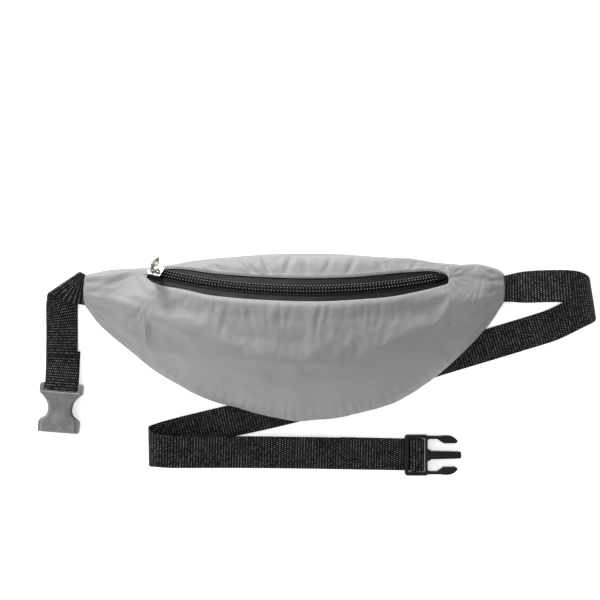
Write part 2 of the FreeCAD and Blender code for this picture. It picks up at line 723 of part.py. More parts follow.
bar_x, bar_y, bar_z = FEMALE_BAR
short_stations = [
    (-size("half_length") - 0.1, 37.2, 6.6, 90, 0, 23.0),
    (-167.0, 38.2, 7.2, 80, 0, 24.6),
    (-171.6, 39.2, 7.2, 60, 0, WIDE),
] + fold_stations() + [
    (-182.6, 32.0, 1.0, 21, 0, WIDE),
    (-183.1, 21.4, LAY, 12, 0, WIDE),
    (-182.9, 6.0, LAY, 0, 0, WIDE),
    (-182.8, -3.0, 1.6, 0, 0, WIDE),
    (-182.6, -10.0, 2.8, -2, 0, WIDE),
    (-182.4, -22.0, 4.2, -4, 0, WIDE),
    (bar_x - 0.2, bar_y + 6.0, bar_z + 1.6, FEMALE_TURN, 0, WIDE),
    (bar_x - 0.1, bar_y + 2.6, bar_z + 2.45, FEMALE_TURN, 0, WIDE),
] + [
    (bar_x, bar_y - WRAP * math.sin(math.radians(a)), bar_z + WRAP * math.cos(math.radians(a)),
     FEMALE_TURN, 0, WIDE) for a in (0, 30, 60, 90, 120, 150, 180)
] + [
    (bar_x, bar_y + 4.0, 1.6, FEMALE_TURN, 0, WIDE),
    (bar_x + 0.3, bar_y + 9.0, LAY, FEMALE_TURN, 0, WIDE),
    (bar_x + 1.2, bar_y + 28.0, LAY, FEMALE_TURN, 0, WIDE),
]
band("strap_short", short_stations, THICK)

# Long strap: a loop right of the bag, then under it in the groove, then a soft fold at the left.
UNDER_ACROSS = GROOVE_TURN + 90
long_stations = [
    (size("half_length") + 0.15, 38.0, 7.4, 90, 0, 20.5),
    (170.0, 38.8, 8.6, 90, 0, 21.8),
    (177.0, 39.2, 11.4, 91, 0, 24.5),
    (186.0, 39.7, 15.4, 92, 0, WIDE),
    (196.0, 40.0, 18.6, 93, 0, WIDE),
    (206.0, 40.1, 20.7, 94, 0, WIDE),
    (214.0, 39.6, 21.0, 95, 0, WIDE),
    (221.0, 38.0, 19.6, 96.5, 0, WIDE),
    (227.0, 35.2, 16.8, 98, 0, WIDE),
    (231.0, 32.2, 13.4, 98.5, 0, WIDE),
    (232.6, 29.4, 9.8, 99, 0, WIDE),
    (231.8, 26.6, 6.6, 99.5, 0, WIDE),
    (228.6, 23.4, 4.0, 100.5, 0, WIDE),
    (223.0, 19.8, 2.3, 102, 0, WIDE),
    (215.0, 15.4, 1.3, 104, 0, WIDE),
    (205.5, 11.0, 1.0, 105.5, 0, WIDE),
    (UNDER_RIGHT.x, UNDER_RIGHT.y, UNDER_RIGHT.z, UNDER_ACROSS, 0, WIDE),
    (UNDER_LEFT.x, UNDER_LEFT.y, UNDER_LEFT.z, UNDER_ACROSS, 0, WIDE),
    (-74.0, -71.4, 1.1, 105, 0, WIDE),
    (-90.0, -75.4, 2.2, 104, 0, WIDE),
    (-100.5, -78.0, 4.4, 102, 0, WIDE),
    (-107.8, -80.2, 7.4, 98, 0, WIDE),
    (-112.0, -82.4, 11.0, 94, 0, WIDE),
    (-112.8, -84.2, 13.6, 91, 0, WIDE),
    (-111.4, -86.0, 15.8, 90, 0, WIDE),
    (-107.4, -87.2, 17.0, 89.5, 0, WIDE),
    (-100.5, -88.0, 17.0, 89, 0, WIDE),
]
RUN_START = (-93.5, -88.4, 16.2, 88.8, 0, WIDE)
band("strap_long", long_stations + [RUN_START], THICK)

# Its run to the male half slopes gently down and comes in under the rear bar, on its own tail.
SLIDE_ACROSS = 88.8
HEM_X = 36.0
TAIL_LIFT = LAY + THICK + 0.35
male_x, male_y, male_z = MALE_BAR


def run_y(x):
    """The run's middle line in plan, straight from the left fold to the male half."""
    share = (x - RUN_START[0]) / (male_x - RUN_START[0])
    return RUN_START[1] + share * (male_y - RUN_START[1])


RUN_END_X = male_x - size("male_rear") - 1.0
SPLIT = 0.3                 # gap between two lengths of the same strap
run_stations = [(RUN_START[0] + SPLIT, *RUN_START[1:])] + [
    (x, run_y(x), z, SLIDE_ACROSS, 0, WIDE)
    for x, z in ((-70.0, 12.2), (-44.0, 8.4), (-14.0, 5.6), (20.0, 4.2), (HEM_X + 8.0, 3.4),
                 (RUN_END_X, TAIL_LIFT))
]
band("strap_run", run_stations, THICK)

# The tail: up through the rear slot, over the centre bar, down and back under the run.
CREST = 0.8 + 0.45 + THICK / 2
tail_stations = [
    (RUN_END_X + SPLIT, run_y(RUN_END_X), TAIL_LIFT, SLIDE_ACROSS, 0, WIDE),
    (male_x - 4.6, run_y(male_x - 4.6), TAIL_LIFT, 90, 0, WIDE),
    (male_x - 2.7, male_y, male_z - 0.4, 90, 0, WIDE),
    (male_x - 1.9, male_y, male_z + 1.3, 90, 0, WIDE),
    (male_x, male_y, male_z + CREST, 90, 0, WIDE),
    (male_x + 1.9, male_y, male_z + 1.3, 90, 0, WIDE),
    (male_x + 2.5, male_y, male_z - 0.4, 90, 0, WIDE),
    (male_x + 1.6, male_y, male_z - 1.6, 90, 0, WIDE),
    (male_x - 0.6, male_y, LAY + 0.15, 90, 0, WIDE),
    (male_x - 5.0, run_y(male_x - 5.0), LAY, SLIDE_ACROSS, 0, WIDE),
    (HEM_X, run_y(HEM_X), LAY, SLIDE_ACROSS, 0, WIDE),
]
band("strap_tail", tail_stations, THICK)


# ---------------------------------------------------------------- sewing
def stitch_row(label, centre, turn, count, pitch, length, width=0.7, lift=0.35):
    """A row of thread stitches lying on webbing, side by side across it."""
    stitches = []
    for i in range(count):
        stitch = Part.makeBox(length, width, lift, Vector(-length / 2, (i - (count - 1) / 2) * pitch
                                                          - width / 2, 0))
        stitches.append(stitch)
    row = doc.addObject("Part::Feature", label)
    row.Shape = Part.Compound(stitches)
    row.Placement = Placement(centre, Rotation(Vector(0, 0, 1), turn))
    return keep(row, label)


# The short strap climbs from TACK_START to TACK_END, and its bartack lies on that slope.
STITCHES, STITCH_PITCH = 15, 1.4
TACK_START, TACK_END = Vector(-182.6, -10.0, 2.8), Vector(-182.4, -22.0, 4.2)
tack_y = -14.0
share = (tack_y - TACK_START.y) / (TACK_END.y - TACK_START.y)
tack_z = TACK_START.z + share * (TACK_END.z - TACK_START.z) + THICK / 2 + 0.25
stitch_row("bartack_short_strap", Vector(-182.5, tack_y, tack_z), 87.0, STITCHES, STITCH_PITCH, 2.6)
stitch_row("bartack_tail_hem", Vector(HEM_X + 5.0, run_y(HEM_X + 5.0), LAY + THICK / 2 + 0.05),
           SLIDE_ACROSS - 90.0, STITCHES, STITCH_PITCH, 1.8, lift=0.3)

# ---------------------------------------------------------------- checks and files
doc.recompute()
for obj in doc.Objects:
    if "Invalid" in obj.State or "Error" in obj.State:
        raise RuntimeError(f"{obj.Name} failed: {obj.State}")
for obj in EXPORTED:
    if obj.Shape.isNull() or not obj.Shape.isValid() or obj.Shape.Volume < 0.5:
        raise RuntimeError(f"{obj.Label} has no sound shape")

os.makedirs("parts", exist_ok=True)
for obj in EXPORTED:
    obj.Shape.exportStep(os.path.join("parts", obj.Label + ".step"))
    print(f"{obj.Label:24s} {obj.Shape.Volume:10.1f} mm3, solids {len(obj.Shape.Solids)}")
print("zip circle: centre", tuple(round(c, 3) for c in CENTRE), "axis", tuple(round(c, 5) for c in AXIS),
      "radius", round(RADIUS, 3))
pull_place = SLIDER.multVec(PULL_AT)
pull_axis = SLIDER.Rotation.multVec(Vector(math.sin(PULL_TWIST), math.cos(PULL_TWIST), 0))
print("pull hinge at", tuple(round(c, 3) for c in pull_place), "axis", tuple(round(c, 5) for c in pull_axis))
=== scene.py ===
import math

import bmesh
import bpy
import numpy as np
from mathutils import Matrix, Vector


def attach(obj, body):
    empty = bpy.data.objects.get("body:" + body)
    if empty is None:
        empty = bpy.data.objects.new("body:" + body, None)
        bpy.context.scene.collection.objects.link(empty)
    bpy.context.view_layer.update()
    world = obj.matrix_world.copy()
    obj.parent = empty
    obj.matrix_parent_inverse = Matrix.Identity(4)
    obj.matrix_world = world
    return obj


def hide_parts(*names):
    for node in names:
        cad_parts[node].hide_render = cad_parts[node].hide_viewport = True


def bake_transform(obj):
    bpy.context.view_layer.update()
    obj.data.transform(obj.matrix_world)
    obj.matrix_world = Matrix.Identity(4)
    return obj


# Waist bag lying on its back, seen from straight above. Lengths are in millimetres until a mesh is
# made; meshes, the frame, the camera and the lights are in metres.
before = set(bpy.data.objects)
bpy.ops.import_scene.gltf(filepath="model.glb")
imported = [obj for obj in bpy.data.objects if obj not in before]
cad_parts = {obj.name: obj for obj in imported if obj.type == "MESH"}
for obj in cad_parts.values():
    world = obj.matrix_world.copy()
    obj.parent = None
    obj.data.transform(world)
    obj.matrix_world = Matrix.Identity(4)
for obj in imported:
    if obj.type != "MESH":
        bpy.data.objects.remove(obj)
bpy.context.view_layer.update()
MM = 0.001
FABRIC_THICK = 0.45
rng = np.random.default_rng(11)
scene = bpy.context.scene

# ---------------------------------------------------------------- camera
CAMERA_PLACE = (0.00447, 0.02929, 0.900)
LENS, SENSOR = 68.5, 36.0
camera_data = bpy.data.cameras.new("camera")
camera_data.lens = LENS
camera_data.sensor_width = SENSOR
camera = bpy.data.objects.new("camera", camera_data)
camera.location = CAMERA_PLACE
scene.collection.objects.link(camera)
scene.camera = camera


# ---------------------------------------------------------------- materials
class Finish:
    """A material made of nodes, with its principled shader at hand."""

    def __init__(self, name):
        self.material = bpy.data.materials.new(name)
        self.material.use_nodes = True
        self.tree = self.material.node_tree
        self.shader = self.tree.nodes["Principled BSDF"]
        self.where = self.tree.nodes.new("ShaderNodeTexCoord").outputs["Object"]

    def set(self, **values):
        for name, value in values.items():
            self.shader.inputs[name.replace("_", " ")].default_value = value

    def node(self, kind, **values):
        made = self.tree.nodes.new(kind)
        for name, value in values.items():
            if name in made.inputs:
                made.inputs[name].default_value = value
            else:
                setattr(made, name, value)
        return made

    def link(self, out, into):
        self.tree.links.new(out, into)

    def noise(self, scale, detail=3.0, roughness=0.6, vector=None):
        made = self.node("ShaderNodeTexNoise", Scale=scale, Detail=detail, Roughness=roughness)
        self.link(vector or self.where, made.inputs["Vector"])
        return made.outputs["Fac"]

    def wave(self, scale, direction, distortion=0.0, vector=None):
        made = self.node("ShaderNodeTexWave", Scale=scale, Distortion=distortion,
                         bands_direction=direction)
        self.link(vector or self.where, made.inputs["Vector"])
        return made.outputs["Fac"]

    def maths(self, operation, a, b):
        made = self.node("ShaderNodeMath", operation=operation)
        for i, value in enumerate((a, b)):
            if isinstance(value, (int, float)):
                made.inputs[i].default_value = value
            else:
                self.link(value, made.inputs[i])
        return made.outputs[0]

    def mix(self, a, share_a, b, share_b):
        return self.maths("ADD", self.maths("MULTIPLY", a, share_a), self.maths("MULTIPLY", b, share_b))

    def ramp(self, factor, stops):
        made = self.node("ShaderNodeValToRGB")
        ramp = made.color_ramp
        while len(ramp.elements) < len(stops):
            ramp.elements.new(0.5)
        for element, (at, value) in zip(ramp.elements, stops):
            element.position = at
            colour = value if isinstance(value, tuple) else (value,) * 3
            element.color = (*colour, 1.0)
        self.link(factor, made.inputs["Fac"])
        return made.outputs["Color"]

    def colour(self, factor, stops):
        self.link(self.ramp(factor, stops), self.shader.inputs["Base Color"])

    def rough(self, factor, low, high):
        made = self.node("ShaderNodeMapRange")
        made.inputs["To Min"].default_value = low
        made.inputs["To Max"].default_value = high
        self.link(factor, made.inputs["Value"])
        self.link(made.outputs["Result"], self.shader.inputs["Roughness"])

    def bump(self, height, strength, distance):
        made = self.node("ShaderNodeBump", Strength=strength, Distance=distance)
        self.link(height, made.inputs["Height"])
        self.link(made.outputs["Normal"], self.shader.inputs["Normal"])


def reflective_fabric():
    """Grey coated cloth, slightly blotchy, with fine threads and a crinkled face."""
    f = Finish("reflective_fabric")
    thread_scale, wander = 520.0, 0.4
    dark, light = (0.171, 0.171, 0.173), (0.200, 0.200, 0.201)
    threads = f.maths("ADD", f.wave(thread_scale, "X", wander), f.wave(thread_scale, "Y", wander))
    grain = f.noise(2600.0, 2.0)
    blotch = f.noise(14.0, 4.0, 0.55)
    f.colour(f.mix(blotch, 0.7, grain, 0.3), [(0.3, dark), (0.7, light)])
    f.rough(f.mix(grain, 0.5, blotch, 0.5), 0.52, 0.68)
    crinkle = f.noise(70.0, 5.0, 0.62)
    f.bump(f.maths("ADD", f.maths("ADD", f.maths("MULTIPLY", threads, 0.3), grain),
                   f.maths("MULTIPLY", crinkle, 6.0)), 0.5, 0.00015)
    f.set(Metallic=0.1, Specular_IOR_Level=0.4, Sheen_Weight=0.06, Sheen_Roughness=0.5)
    return f.material


# gap and crown are the colours of painted shade between the yarns and of a painted highlight on their
# crowns; yarn is the yarn's own colour.
def woven_black(name, gap, yarn, crown, scale, specular):
    """Black nylon yarn, with painted shade between the yarns and a painted highlight on their crowns."""
    f = Finish(name)
    crowns = f.node("ShaderNodeAttribute", attribute_name="crown").outputs["Fac"]
    fibres = f.wave(scale, "X", 3.0)
    grain = f.noise(scale * 3.0, 3.0)
    slow = f.noise(45.0, 3.0)
    uneven = f.mix(grain, 0.35, slow, 0.3)
    # The crown height sets the colour: painted shade in the gaps, painted highlight on the crowns.
    tone = f.maths("MULTIPLY", crowns, f.maths("ADD", uneven, 0.67))
    f.colour(tone, [(0.25, gap), (0.62, yarn), (0.95, crown)])
    f.rough(grain, 0.38, 0.58)
    f.bump(f.maths("ADD", f.maths("MULTIPLY", fibres, 0.5), grain), 0.3, 0.00015)
    f.set(Specular_IOR_Level=specular)
    return f.material


def glossy_nylon(name, dark, light, specular):
    """Smooth nylon with a fine grain."""
    f = Finish(name)
    grain = f.noise(900.0, 3.0)
    f.colour(grain, [(0.3, dark), (0.75, light)])
    f.rough(grain, 0.3, 0.45)
    f.bump(grain, 0.15, 0.0001)
    f.set(Specular_IOR_Level=specular)
    return f.material


def plastic(name, dark, light, low, high, grain_scale, strength, specular):
    """Moulded acetal: fine spark-eroded grain, slightly paler where it has been handled, with a painted
    highlight along its convex edges.
    """
    f = Finish(name)
    grain = f.noise(grain_scale, 3.0, 0.7)
    handled = f.noise(70.0, 4.0)
    # Pointiness picks out the convex edges, which are painted paler as a highlight.
    highlight_pointiness = f.node("ShaderNodeNewGeometry").outputs["Pointiness"]
    edge = f.ramp(highlight_pointiness, [(0.49, 0.0), (0.62, 1.0)])
    tone = f.mix(grain, 0.35, handled, 0.35)
    f.colour(f.maths("ADD", tone, f.maths("MULTIPLY", edge, 0.3)), [(0.25, dark), (0.75, light)])
    f.rough(handled, low, high)
    f.bump(grain, strength, 0.0002)
    f.set(Specular_IOR_Level=specular)
    return f.material


def plated_metal():
    """Plated metal with fine streaks, yellower and darker in patches."""
    f = Finish("plated_metal")
    streak = f.noise(500.0, 4.0, 0.7)
    slow = f.noise(160.0, 3.0)
    f.colour(slow, [(0.35, (0.42, 0.39, 0.33)), (0.7, (0.68, 0.67, 0.65))])
    f.rough(streak, 0.16, 0.34)
    f.bump(streak, 0.12, 0.00008)
    f.set(Metallic=1.0)
    return f.material


def thread(name, dark, light, specular):
    """Twisted sewing thread."""
    f = Finish(name)
    twist = f.wave(700.0, "DIAGONAL", 1.0)
    grain = f.noise(1500.0, 2.0)
    f.colour(f.mix(twist, 0.5, grain, 0.5), [(0.3, dark), (0.7, light)])
    f.rough(grain, 0.35, 0.55)
    f.bump(twist, 0.3, 0.0001)
    f.set(Specular_IOR_Level=specular)
    return f.material


FABRIC = reflective_fabric()
# Colours of the weave: painted shade between the yarns, the yarn's own black, and a painted highlight on
# the crowns.
WEBBING = woven_black("black_webbing", (0.0005, 0.0005, 0.0006), (0.005, 0.005, 0.0055),
                      (0.115, 0.115, 0.117), 420.0, 0.10)
TAPE = woven_black("zip_tape_weave", (0.0012, 0.0012, 0.0014), (0.0045, 0.0045, 0.005),
                   (0.012, 0.012, 0.013), 900.0, 0.09)
COIL = glossy_nylon("nylon_coil", (0.001, 0.001, 0.0012), (0.004, 0.004, 0.0045), 0.06)
# Pale thread for the coil's stitches: its pale colour is a painted highlight on the coil.
COIL_THREAD_HIGHLIGHT = glossy_nylon("coil_thread_painted_highlight", (0.13, 0.13, 0.131), (0.24, 0.24, 0.242), 0.3)
BLACK_PLASTIC = plastic("black_acetal", (0.001, 0.001, 0.0012), (0.014, 0.014, 0.015),
                        0.22, 0.38, 900.0, 0.3, 0.22)
GREY_PLASTIC = plastic("grey_acetal", (0.055, 0.055, 0.058), (0.36, 0.36, 0.38),
                       0.45, 0.65, 950.0, 1.0, 0.4)
METAL = plated_metal()
BLACK_THREAD = thread("black_thread", (0.002, 0.002, 0.0025), (0.008, 0.008, 0.009), 0.12)
GREY_THREAD = thread("grey_thread", (0.34, 0.34, 0.345), (0.50, 0.50, 0.505), 0.4)
# Darker than the fabric: painted shade of the notches along the slot's upper edge.
SHADE_DARK_THREAD = thread("dark_grey_thread_painted_shade", (0.07, 0.07, 0.071), (0.13, 0.13, 0.131), 0.2)


# ---------------------------------------------------------------- mesh helpers
def put(name, mesh, material, body=None):
    """An object of that mesh, smooth shaded, in its material, riding on its body."""
    mesh.polygons.foreach_set("use_smooth", [True] * len(mesh.polygons))
    mesh.materials.clear()
    mesh.materials.append(material)
    obj = bpy.data.objects.new(name, mesh)
    scene.collection.objects.link(obj)
    if body:
        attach(obj, body)
    return obj


def mesh_of(name, points, faces, crown=None):
    """Mesh from points in millimetres; crown is the height of its weave, 0 to 1, point by point."""
    mesh = bpy.data.meshes.new(name)
    mesh.from_pydata((np.asarray(points, float) * MM).tolist(), [], [tuple(map(int, f)) for f in faces])
    if crown is not None:
        mesh.attributes.new("crown", "FLOAT", "POINT").data.foreach_set("value", np.float32(crown))
    mesh.update()
    return mesh


def finished(obj):
    """The object's mesh with its modifiers applied."""
    bpy.context.view_layer.update()
    graph = bpy.context.evaluated_depsgraph_get()
    mesh = bpy.data.meshes.new_from_object(obj.evaluated_get(graph))
    obj.modifiers.clear()
    obj.data = mesh
    mesh.polygons.foreach_set("use_smooth", [True] * len(mesh.polygons))
    return obj


def grid_faces(rows, columns, start=0, closed=False):
    """Quads of a grid of points stored row after row."""
    faces = []
    for i in range(rows - 1):
        for j in range(columns if closed else columns - 1):
            k = (j + 1) % columns
            a, b = start + i * columns, start + (i + 1) * columns
            faces.append((a + j, b + j, b + k, a + k))
    return faces


def unit(v):
    return v / np.linalg.norm(v, axis=-1, keepdims=True)


def direction_at(degrees):
    """Level direction at that angle from X."""
    return np.array([math.cos(math.radians(degrees)), math.sin(math.radians(degrees)), 0.0])


def smoothstep(low, high, x):
    t = np.clip((x - low) / (high - low), 0, 1)
    return t * t * (3 - 2 * t)


def hermite_cubic(t, h, start, end, leaving, arriving):
    """Cubic over a piece of length h, between two values with their slopes, at share t."""
    return ((2 * t ** 3 - 3 * t ** 2 + 1) * start + (t ** 3 - 2 * t ** 2 + t) * h * leaving
            + (3 * t ** 2 - 2 * t ** 3) * end + (t ** 3 - t ** 2) * h * arriving)


def coordinates(mesh):
    co = np.empty(len(mesh.vertices) * 3)
    mesh.vertices.foreach_get("co", co)
    return co.reshape(-1, 3)


def set_coordinates(mesh, co):
    mesh.vertices.foreach_set("co", np.asarray(co, float).ravel())
    mesh.update()


def normals_of(mesh):
    out = np.empty(len(mesh.vertices) * 3)
    mesh.vertices.foreach_get("normal", out)
    return out.reshape(-1, 3)


def weld(mesh, distance):
    """Merge the points that lie within that distance, in metres."""
    work = bmesh.new()
    work.from_mesh(mesh)
    bmesh.ops.remove_doubles(work, verts=work.verts, dist=distance)
    work.to_mesh(mesh)
    work.free()


def fix_normals(mesh):
    """Turn all faces outwards."""
    work = bmesh.new()
    work.from_mesh(mesh)
    bmesh.ops.recalc_face_normals(work, faces=work.faces)
    work.to_mesh(mesh)
    work.free()


def thicken(obj):
    """Give a panel the fabric's thickness, inwards."""
    solid = obj.modifiers.new("thick", "SOLIDIFY")
    solid.thickness, solid.offset = FABRIC_THICK * MM, -1.0
    return finished(obj)


def moulded(node, name, voxel, passes, body, material):
    """A hard part with its edges eased, in place of its CAD node."""
    obj = put(name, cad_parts[node].data.copy(), material)
    remesh = obj.modifiers.new("ease", "REMESH")
    remesh.mode = "VOXEL"
    remesh.voxel_size = voxel * MM
    smooth = obj.modifiers.new("smooth", "SMOOTH")
    smooth.factor, smooth.iterations = 0.5, passes
    finished(obj)
    obj.data.materials.clear()
    obj.data.materials.append(material)
    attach(obj, body)
    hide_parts(node)
    return obj


def beads(name, centres, alongs, ups, length, width, height, sides=8, rings=5):
    """One mesh of small rounded stitches, each lying along its own direction."""
    polar = np.linspace(0, math.pi, rings + 1)[1:-1]
    turn = np.arange(sides) * 2 * math.pi / sides
    template = [(-0.5, 0.0, 0.0)]
    for p in polar:
        for t in turn:
            template.append((-0.5 * math.cos(p), 0.5 * math.sin(p) * math.cos(t),
                             0.5 * math.sin(p) * math.sin(t)))
    template.append((0.5, 0.0, 0.0))
    template = np.array(template) * (length, width, height)
    last = len(template) - 1
    faces = [(0, 1 + (j + 1) % sides, 1 + j) for j in range(sides)]
    faces += [(1 + i * sides + j, 1 + i * sides + (j + 1) % sides,
               1 + (i + 1) * sides + (j + 1) % sides, 1 + (i + 1) * sides + j)
              for i in range(len(polar) - 1) for j in range(sides)]
    faces += [(last, last - sides + j, last - sides + (j + 1) % sides) for j in range(sides)]
    points, all_faces = [], []
    for centre, along, up in zip(centres, alongs, ups):
        along = unit(np.asarray(along, float))
        side = unit(np.cross(up, along))
        lift = np.cross(along, side)
        start = len(points) * (last + 1)
        points.append(centre + template @ np.array([along, side, lift]))
        all_faces += [tuple(start + k for k in face) for face in faces]
    return mesh_of(name, np.concatenate(points), all_faces)


# ---------------------------------------------------------------- webbing
WIDE, THICK = 25.0, 1.05
FLOAT, PITCH = WIDE / 16, 2.15          # width of a float of yarn, and distance between ribs
RELIEF, SUNK = 0.40, 0.12               # height of a float's crown, and depth of the gaps between
FLAT_SHARE, ROUND_SHARE = 0.465, 0.035  # half the width: its flat part and its rounded edge
SAMPLES = 64                            # quads across one face
STEP = 0.54                             # distance between rings of points
LEAST_LEAN = 0.35                       # limits how far a slanting station is widened


def smooth_line(points, name):
    """Points read from the NURBS spline that has those control points."""
    curve = bpy.data.curves.new(name, "CURVE")
    curve.dimensions = "3D"
    curve.resolution_u = 16
    spline = curve.splines.new("NURBS")
    spline.points.add(len(points) - 1)
    for control, point in zip(spline.points, points):
        control.co = (*point, 1.0)
    spline.order_u = 3
    spline.use_endpoint_u = True
    holder = bpy.data.objects.new(name, curve)
    mesh = bpy.data.meshes.new_from_object(holder)
    line = np.array([v.co[:] for v in mesh.vertices])
    bpy.data.objects.remove(holder)
    bpy.data.curves.remove(curve)
    bpy.data.meshes.remove(mesh)
    return line


def strap_edges(stations):
    """The two edges of a strap. A station is x, y, z, angle across in plan, width."""
    middles = np.array([s[:3] for s in stations], float)
    runs = unit(np.gradient(middles, axis=0))
    left, right = [], []
    for middle, run, (*_, plan, width) in zip(middles, runs, stations):
        across = direction_at(plan)
        lean = max(LEAST_LEAN, np.linalg.norm(np.cross(run, across)))
        left.append(middle + across * width / 2 / lean)
        right.append(middle - across * width / 2 / lean)
    return smooth_line(left, "left_edge"), smooth_line(right, "right_edge")


def webbing(name, stations):
    """Woven strap along the stations: (mesh, centreline in metres)."""
    left, right = strap_edges(stations)
    middle = (left + right) / 2
    travel = np.concatenate([[0.0], np.cumsum(np.linalg.norm(np.diff(middle, axis=0), axis=1))])
    count = int(travel[-1] / STEP) + 1
    at = np.linspace(0, travel[-1], count)
    left, right = (np.stack([np.interp(at, travel, edge[:, k]) for k in range(3)], 1)
                   for edge in (left, right))
    middle = (left + right) / 2
    run = unit(np.gradient(middle, axis=0))
    normal = unit(np.cross(run, left - right))
    v = np.linspace(-0.5, 0.5, SAMPLES + 1)
    row = at / PITCH
    rib = np.floor(row).astype(int)
    along = np.cos(math.pi * (row - rib - 0.5)) ** 1.1
    column = (v[None, :] + 0.5) * WIDE / FLOAT + 0.5 * (rib[:, None] % 2)
    column_at = np.floor(column).astype(int)
    across = np.cos(math.pi * (column - column_at - 0.5)) ** 0.8
    # Each float differs a little.
    tuft = rng.normal(1.0, 0.10, (rib.max() + 1, column_at.max() + 1))
    # The crown also sets the colour, as painted shade in the gaps and a painted highlight on the crowns.
    crown = (0.25 + 0.75 * across) * along[:, None] * tuft[rib[:, None], column_at]
    relief = RELIEF * np.clip(crown, 0, 1.1)
    rounding = np.clip(np.abs(v) - FLAT_SHARE, 0, None) / ROUND_SHARE
    selvedge = np.sqrt(np.clip(1 - rounding ** 2, 0, 1))
    depth = (THICK / 2 - SUNK + relief) * selvedge[None, :]
    flat = right[:, None, :] + (left - right)[:, None, :] * (v[None, :, None] + 0.5)
    top = flat + normal[:, None, :] * depth[:, :, None]
    bottom = flat - normal[:, None, :] * depth[:, :, None]
    rings = np.concatenate([top, bottom[:, -2:0:-1]], axis=1)
    crown = np.concatenate([crown, crown[:, -2:0:-1]], axis=1).ravel()
    size = rings.shape[1]
    faces = grid_faces(count, size, closed=True)
    # The two cut ends, as quads between the faces with a triangle at each edge.
    for first, flip in ((0, False), ((count - 1) * size, True)):
        for j in range(SAMPLES):
            a, b = first + j, first + j + 1
            c, d = first + (size - j - 1) % size, first + (size - j) % size
            quad = (a, b, c, d) if j else (a, b, c)
            if j == SAMPLES - 1:
                quad = (a, b, d)
            faces.append(quad[::-1] if flip else quad)
    return mesh_of(name, rings.reshape(-1, 3), faces, crown), middle * MM


# Stations: x, y, z, angle across in plan, width. TURN, UNDER and RUN are angles of straight parts.
TURN, UNDER, RUN = -4.45, 106.4, 88.8
short_stations = [
    (-163.7, 37.2, 6.6, 90, 23.0), (-167.0, 38.2, 7.2, 80, 24.6), (-171.6, 39.2, 7.2, 60, WIDE),
    (-176.8, 41.6, 7.0, 34, WIDE), (-179.8, 43.1, 6.8, 34, WIDE), (-182.1, 41.6, 1.4, 34, WIDE),
    (-181.9, 38.2, 1.2, 34, WIDE), (-182.6, 32.0, 1.0, 21, WIDE), (-183.1, 21.4, 0.85, 12, WIDE),
    (-182.9, 6.0, 0.85, 0, WIDE), (-182.8, -3.0, 1.6, 0, WIDE), (-182.6, -10.0, 2.8, -2, WIDE),
    (-182.4, -22.0, 4.2, -4, WIDE), (-182.25, -32.3, 6.8, TURN, WIDE), (-182.1, -38.3, 8.0, TURN, WIDE),
    (-182.0, -41.2, 8.0, TURN, WIDE), (-182.0, -41.2, 2.5, TURN, WIDE), (-182.05, -38.3, 2.2, TURN, WIDE),
    (-182.05, -34.3, 1.6, TURN, WIDE), (-181.75, -29.3, 0.85, TURN, WIDE),
    (-180.85, -10.3, 0.85, TURN, WIDE),
]
long_stations = [
    (163.75, 38.0, 7.4, 90, 20.5), (170.0, 38.8, 8.6, 90, 21.8), (177.0, 39.2, 11.4, 91, 24.5),
    (186.0, 39.7, 15.4, 92, WIDE), (196.0, 40.0, 18.6, 93, WIDE), (206.0, 40.1, 20.7, 94, WIDE),
    (214.0, 39.6, 21.0, 95, WIDE), (221.0, 38.0, 19.6, 96.5, WIDE), (227.0, 35.2, 16.8, 98, WIDE),
    (231.0, 32.2, 13.4, 98.5, WIDE), (232.6, 29.4, 9.8, 99, WIDE), (231.8, 26.6, 6.6, 99.5, WIDE),
    (228.6, 23.4, 4.0, 100.5, WIDE), (223.0, 19.8, 2.3, 102, WIDE), (215.0, 15.4, 1.3, 104, WIDE),
    (205.5, 10.6, 1.0, 105.5, WIDE), (195.6, 6.9, 0.95, UNDER, WIDE), (90.0, -24.8, 0.95, UNDER, WIDE),
    (45.0, -40.0, 0.95, 106.5, WIDE), (5.8, -53.3, 0.95, 104.5, WIDE), (-22.0, -60.0, 0.95, 103.0, WIDE),
    (-50.3, -66.0, 0.95, 103.5, WIDE), (-74.0, -71.6, 1.1, 104, WIDE), (-90.0, -75.4, 2.2, 103.5, WIDE),
    (-100.5, -78.0, 4.4, 102, WIDE),
    (-107.8, -80.2, 7.4, 98, WIDE), (-112.0, -82.4, 11.0, 94, WIDE), (-112.8, -84.2, 13.6, 91, WIDE),
    (-111.4, -86.0, 15.8, 90, WIDE), (-107.4, -87.2, 17.0, 89.5, WIDE), (-100.5, -88.0, 17.0, 89, WIDE),
    (-93.5, -88.4, 16.2, RUN, WIDE),
]
run_stations = [
    (-93.5, -88.4, 16.2, RUN, WIDE), (-70.0, -88.89, 12.2, RUN, WIDE), (-44.0, -89.44, 8.4, RUN, WIDE),
    (-14.0, -90.07, 5.6, RUN, WIDE), (20.0, -90.78, 4.2, RUN, WIDE), (44.0, -91.29, 3.4, RUN, WIDE),
    (85.65, -92.16, 2.5, RUN, WIDE),
]
tail_stations = [
    (85.95, -92.16, 2.5, RUN, WIDE), (90.05, -92.25, 2.5, 90, WIDE), (91.0, -92.35, 3.0, 90, WIDE),
    (91.5, -92.35, 5.4, 90, WIDE), (94.3, -92.35, 6.3, 90, WIDE), (98.8, -92.35, 6.0, 90, WIDE),
    (101.4, -92.35, 5.2, 90, WIDE), (101.5, -92.35, 2.2, 90, WIDE), (98.5, -92.35, 0.95, 90, WIDE),
    (89.65, -92.24, 0.85, RUN, WIDE), (36.0, -91.12, 0.85, RUN, WIDE),
]
straps = {}
paths = {}
for piece, stations in (("webbing_short", short_stations), ("webbing_long", long_stations),
                        ("webbing_run", run_stations), ("webbing_tail", tail_stations)):
    mesh, paths[piece] = webbing(piece, stations)
    straps[piece] = put(piece, mesh, WEBBING)
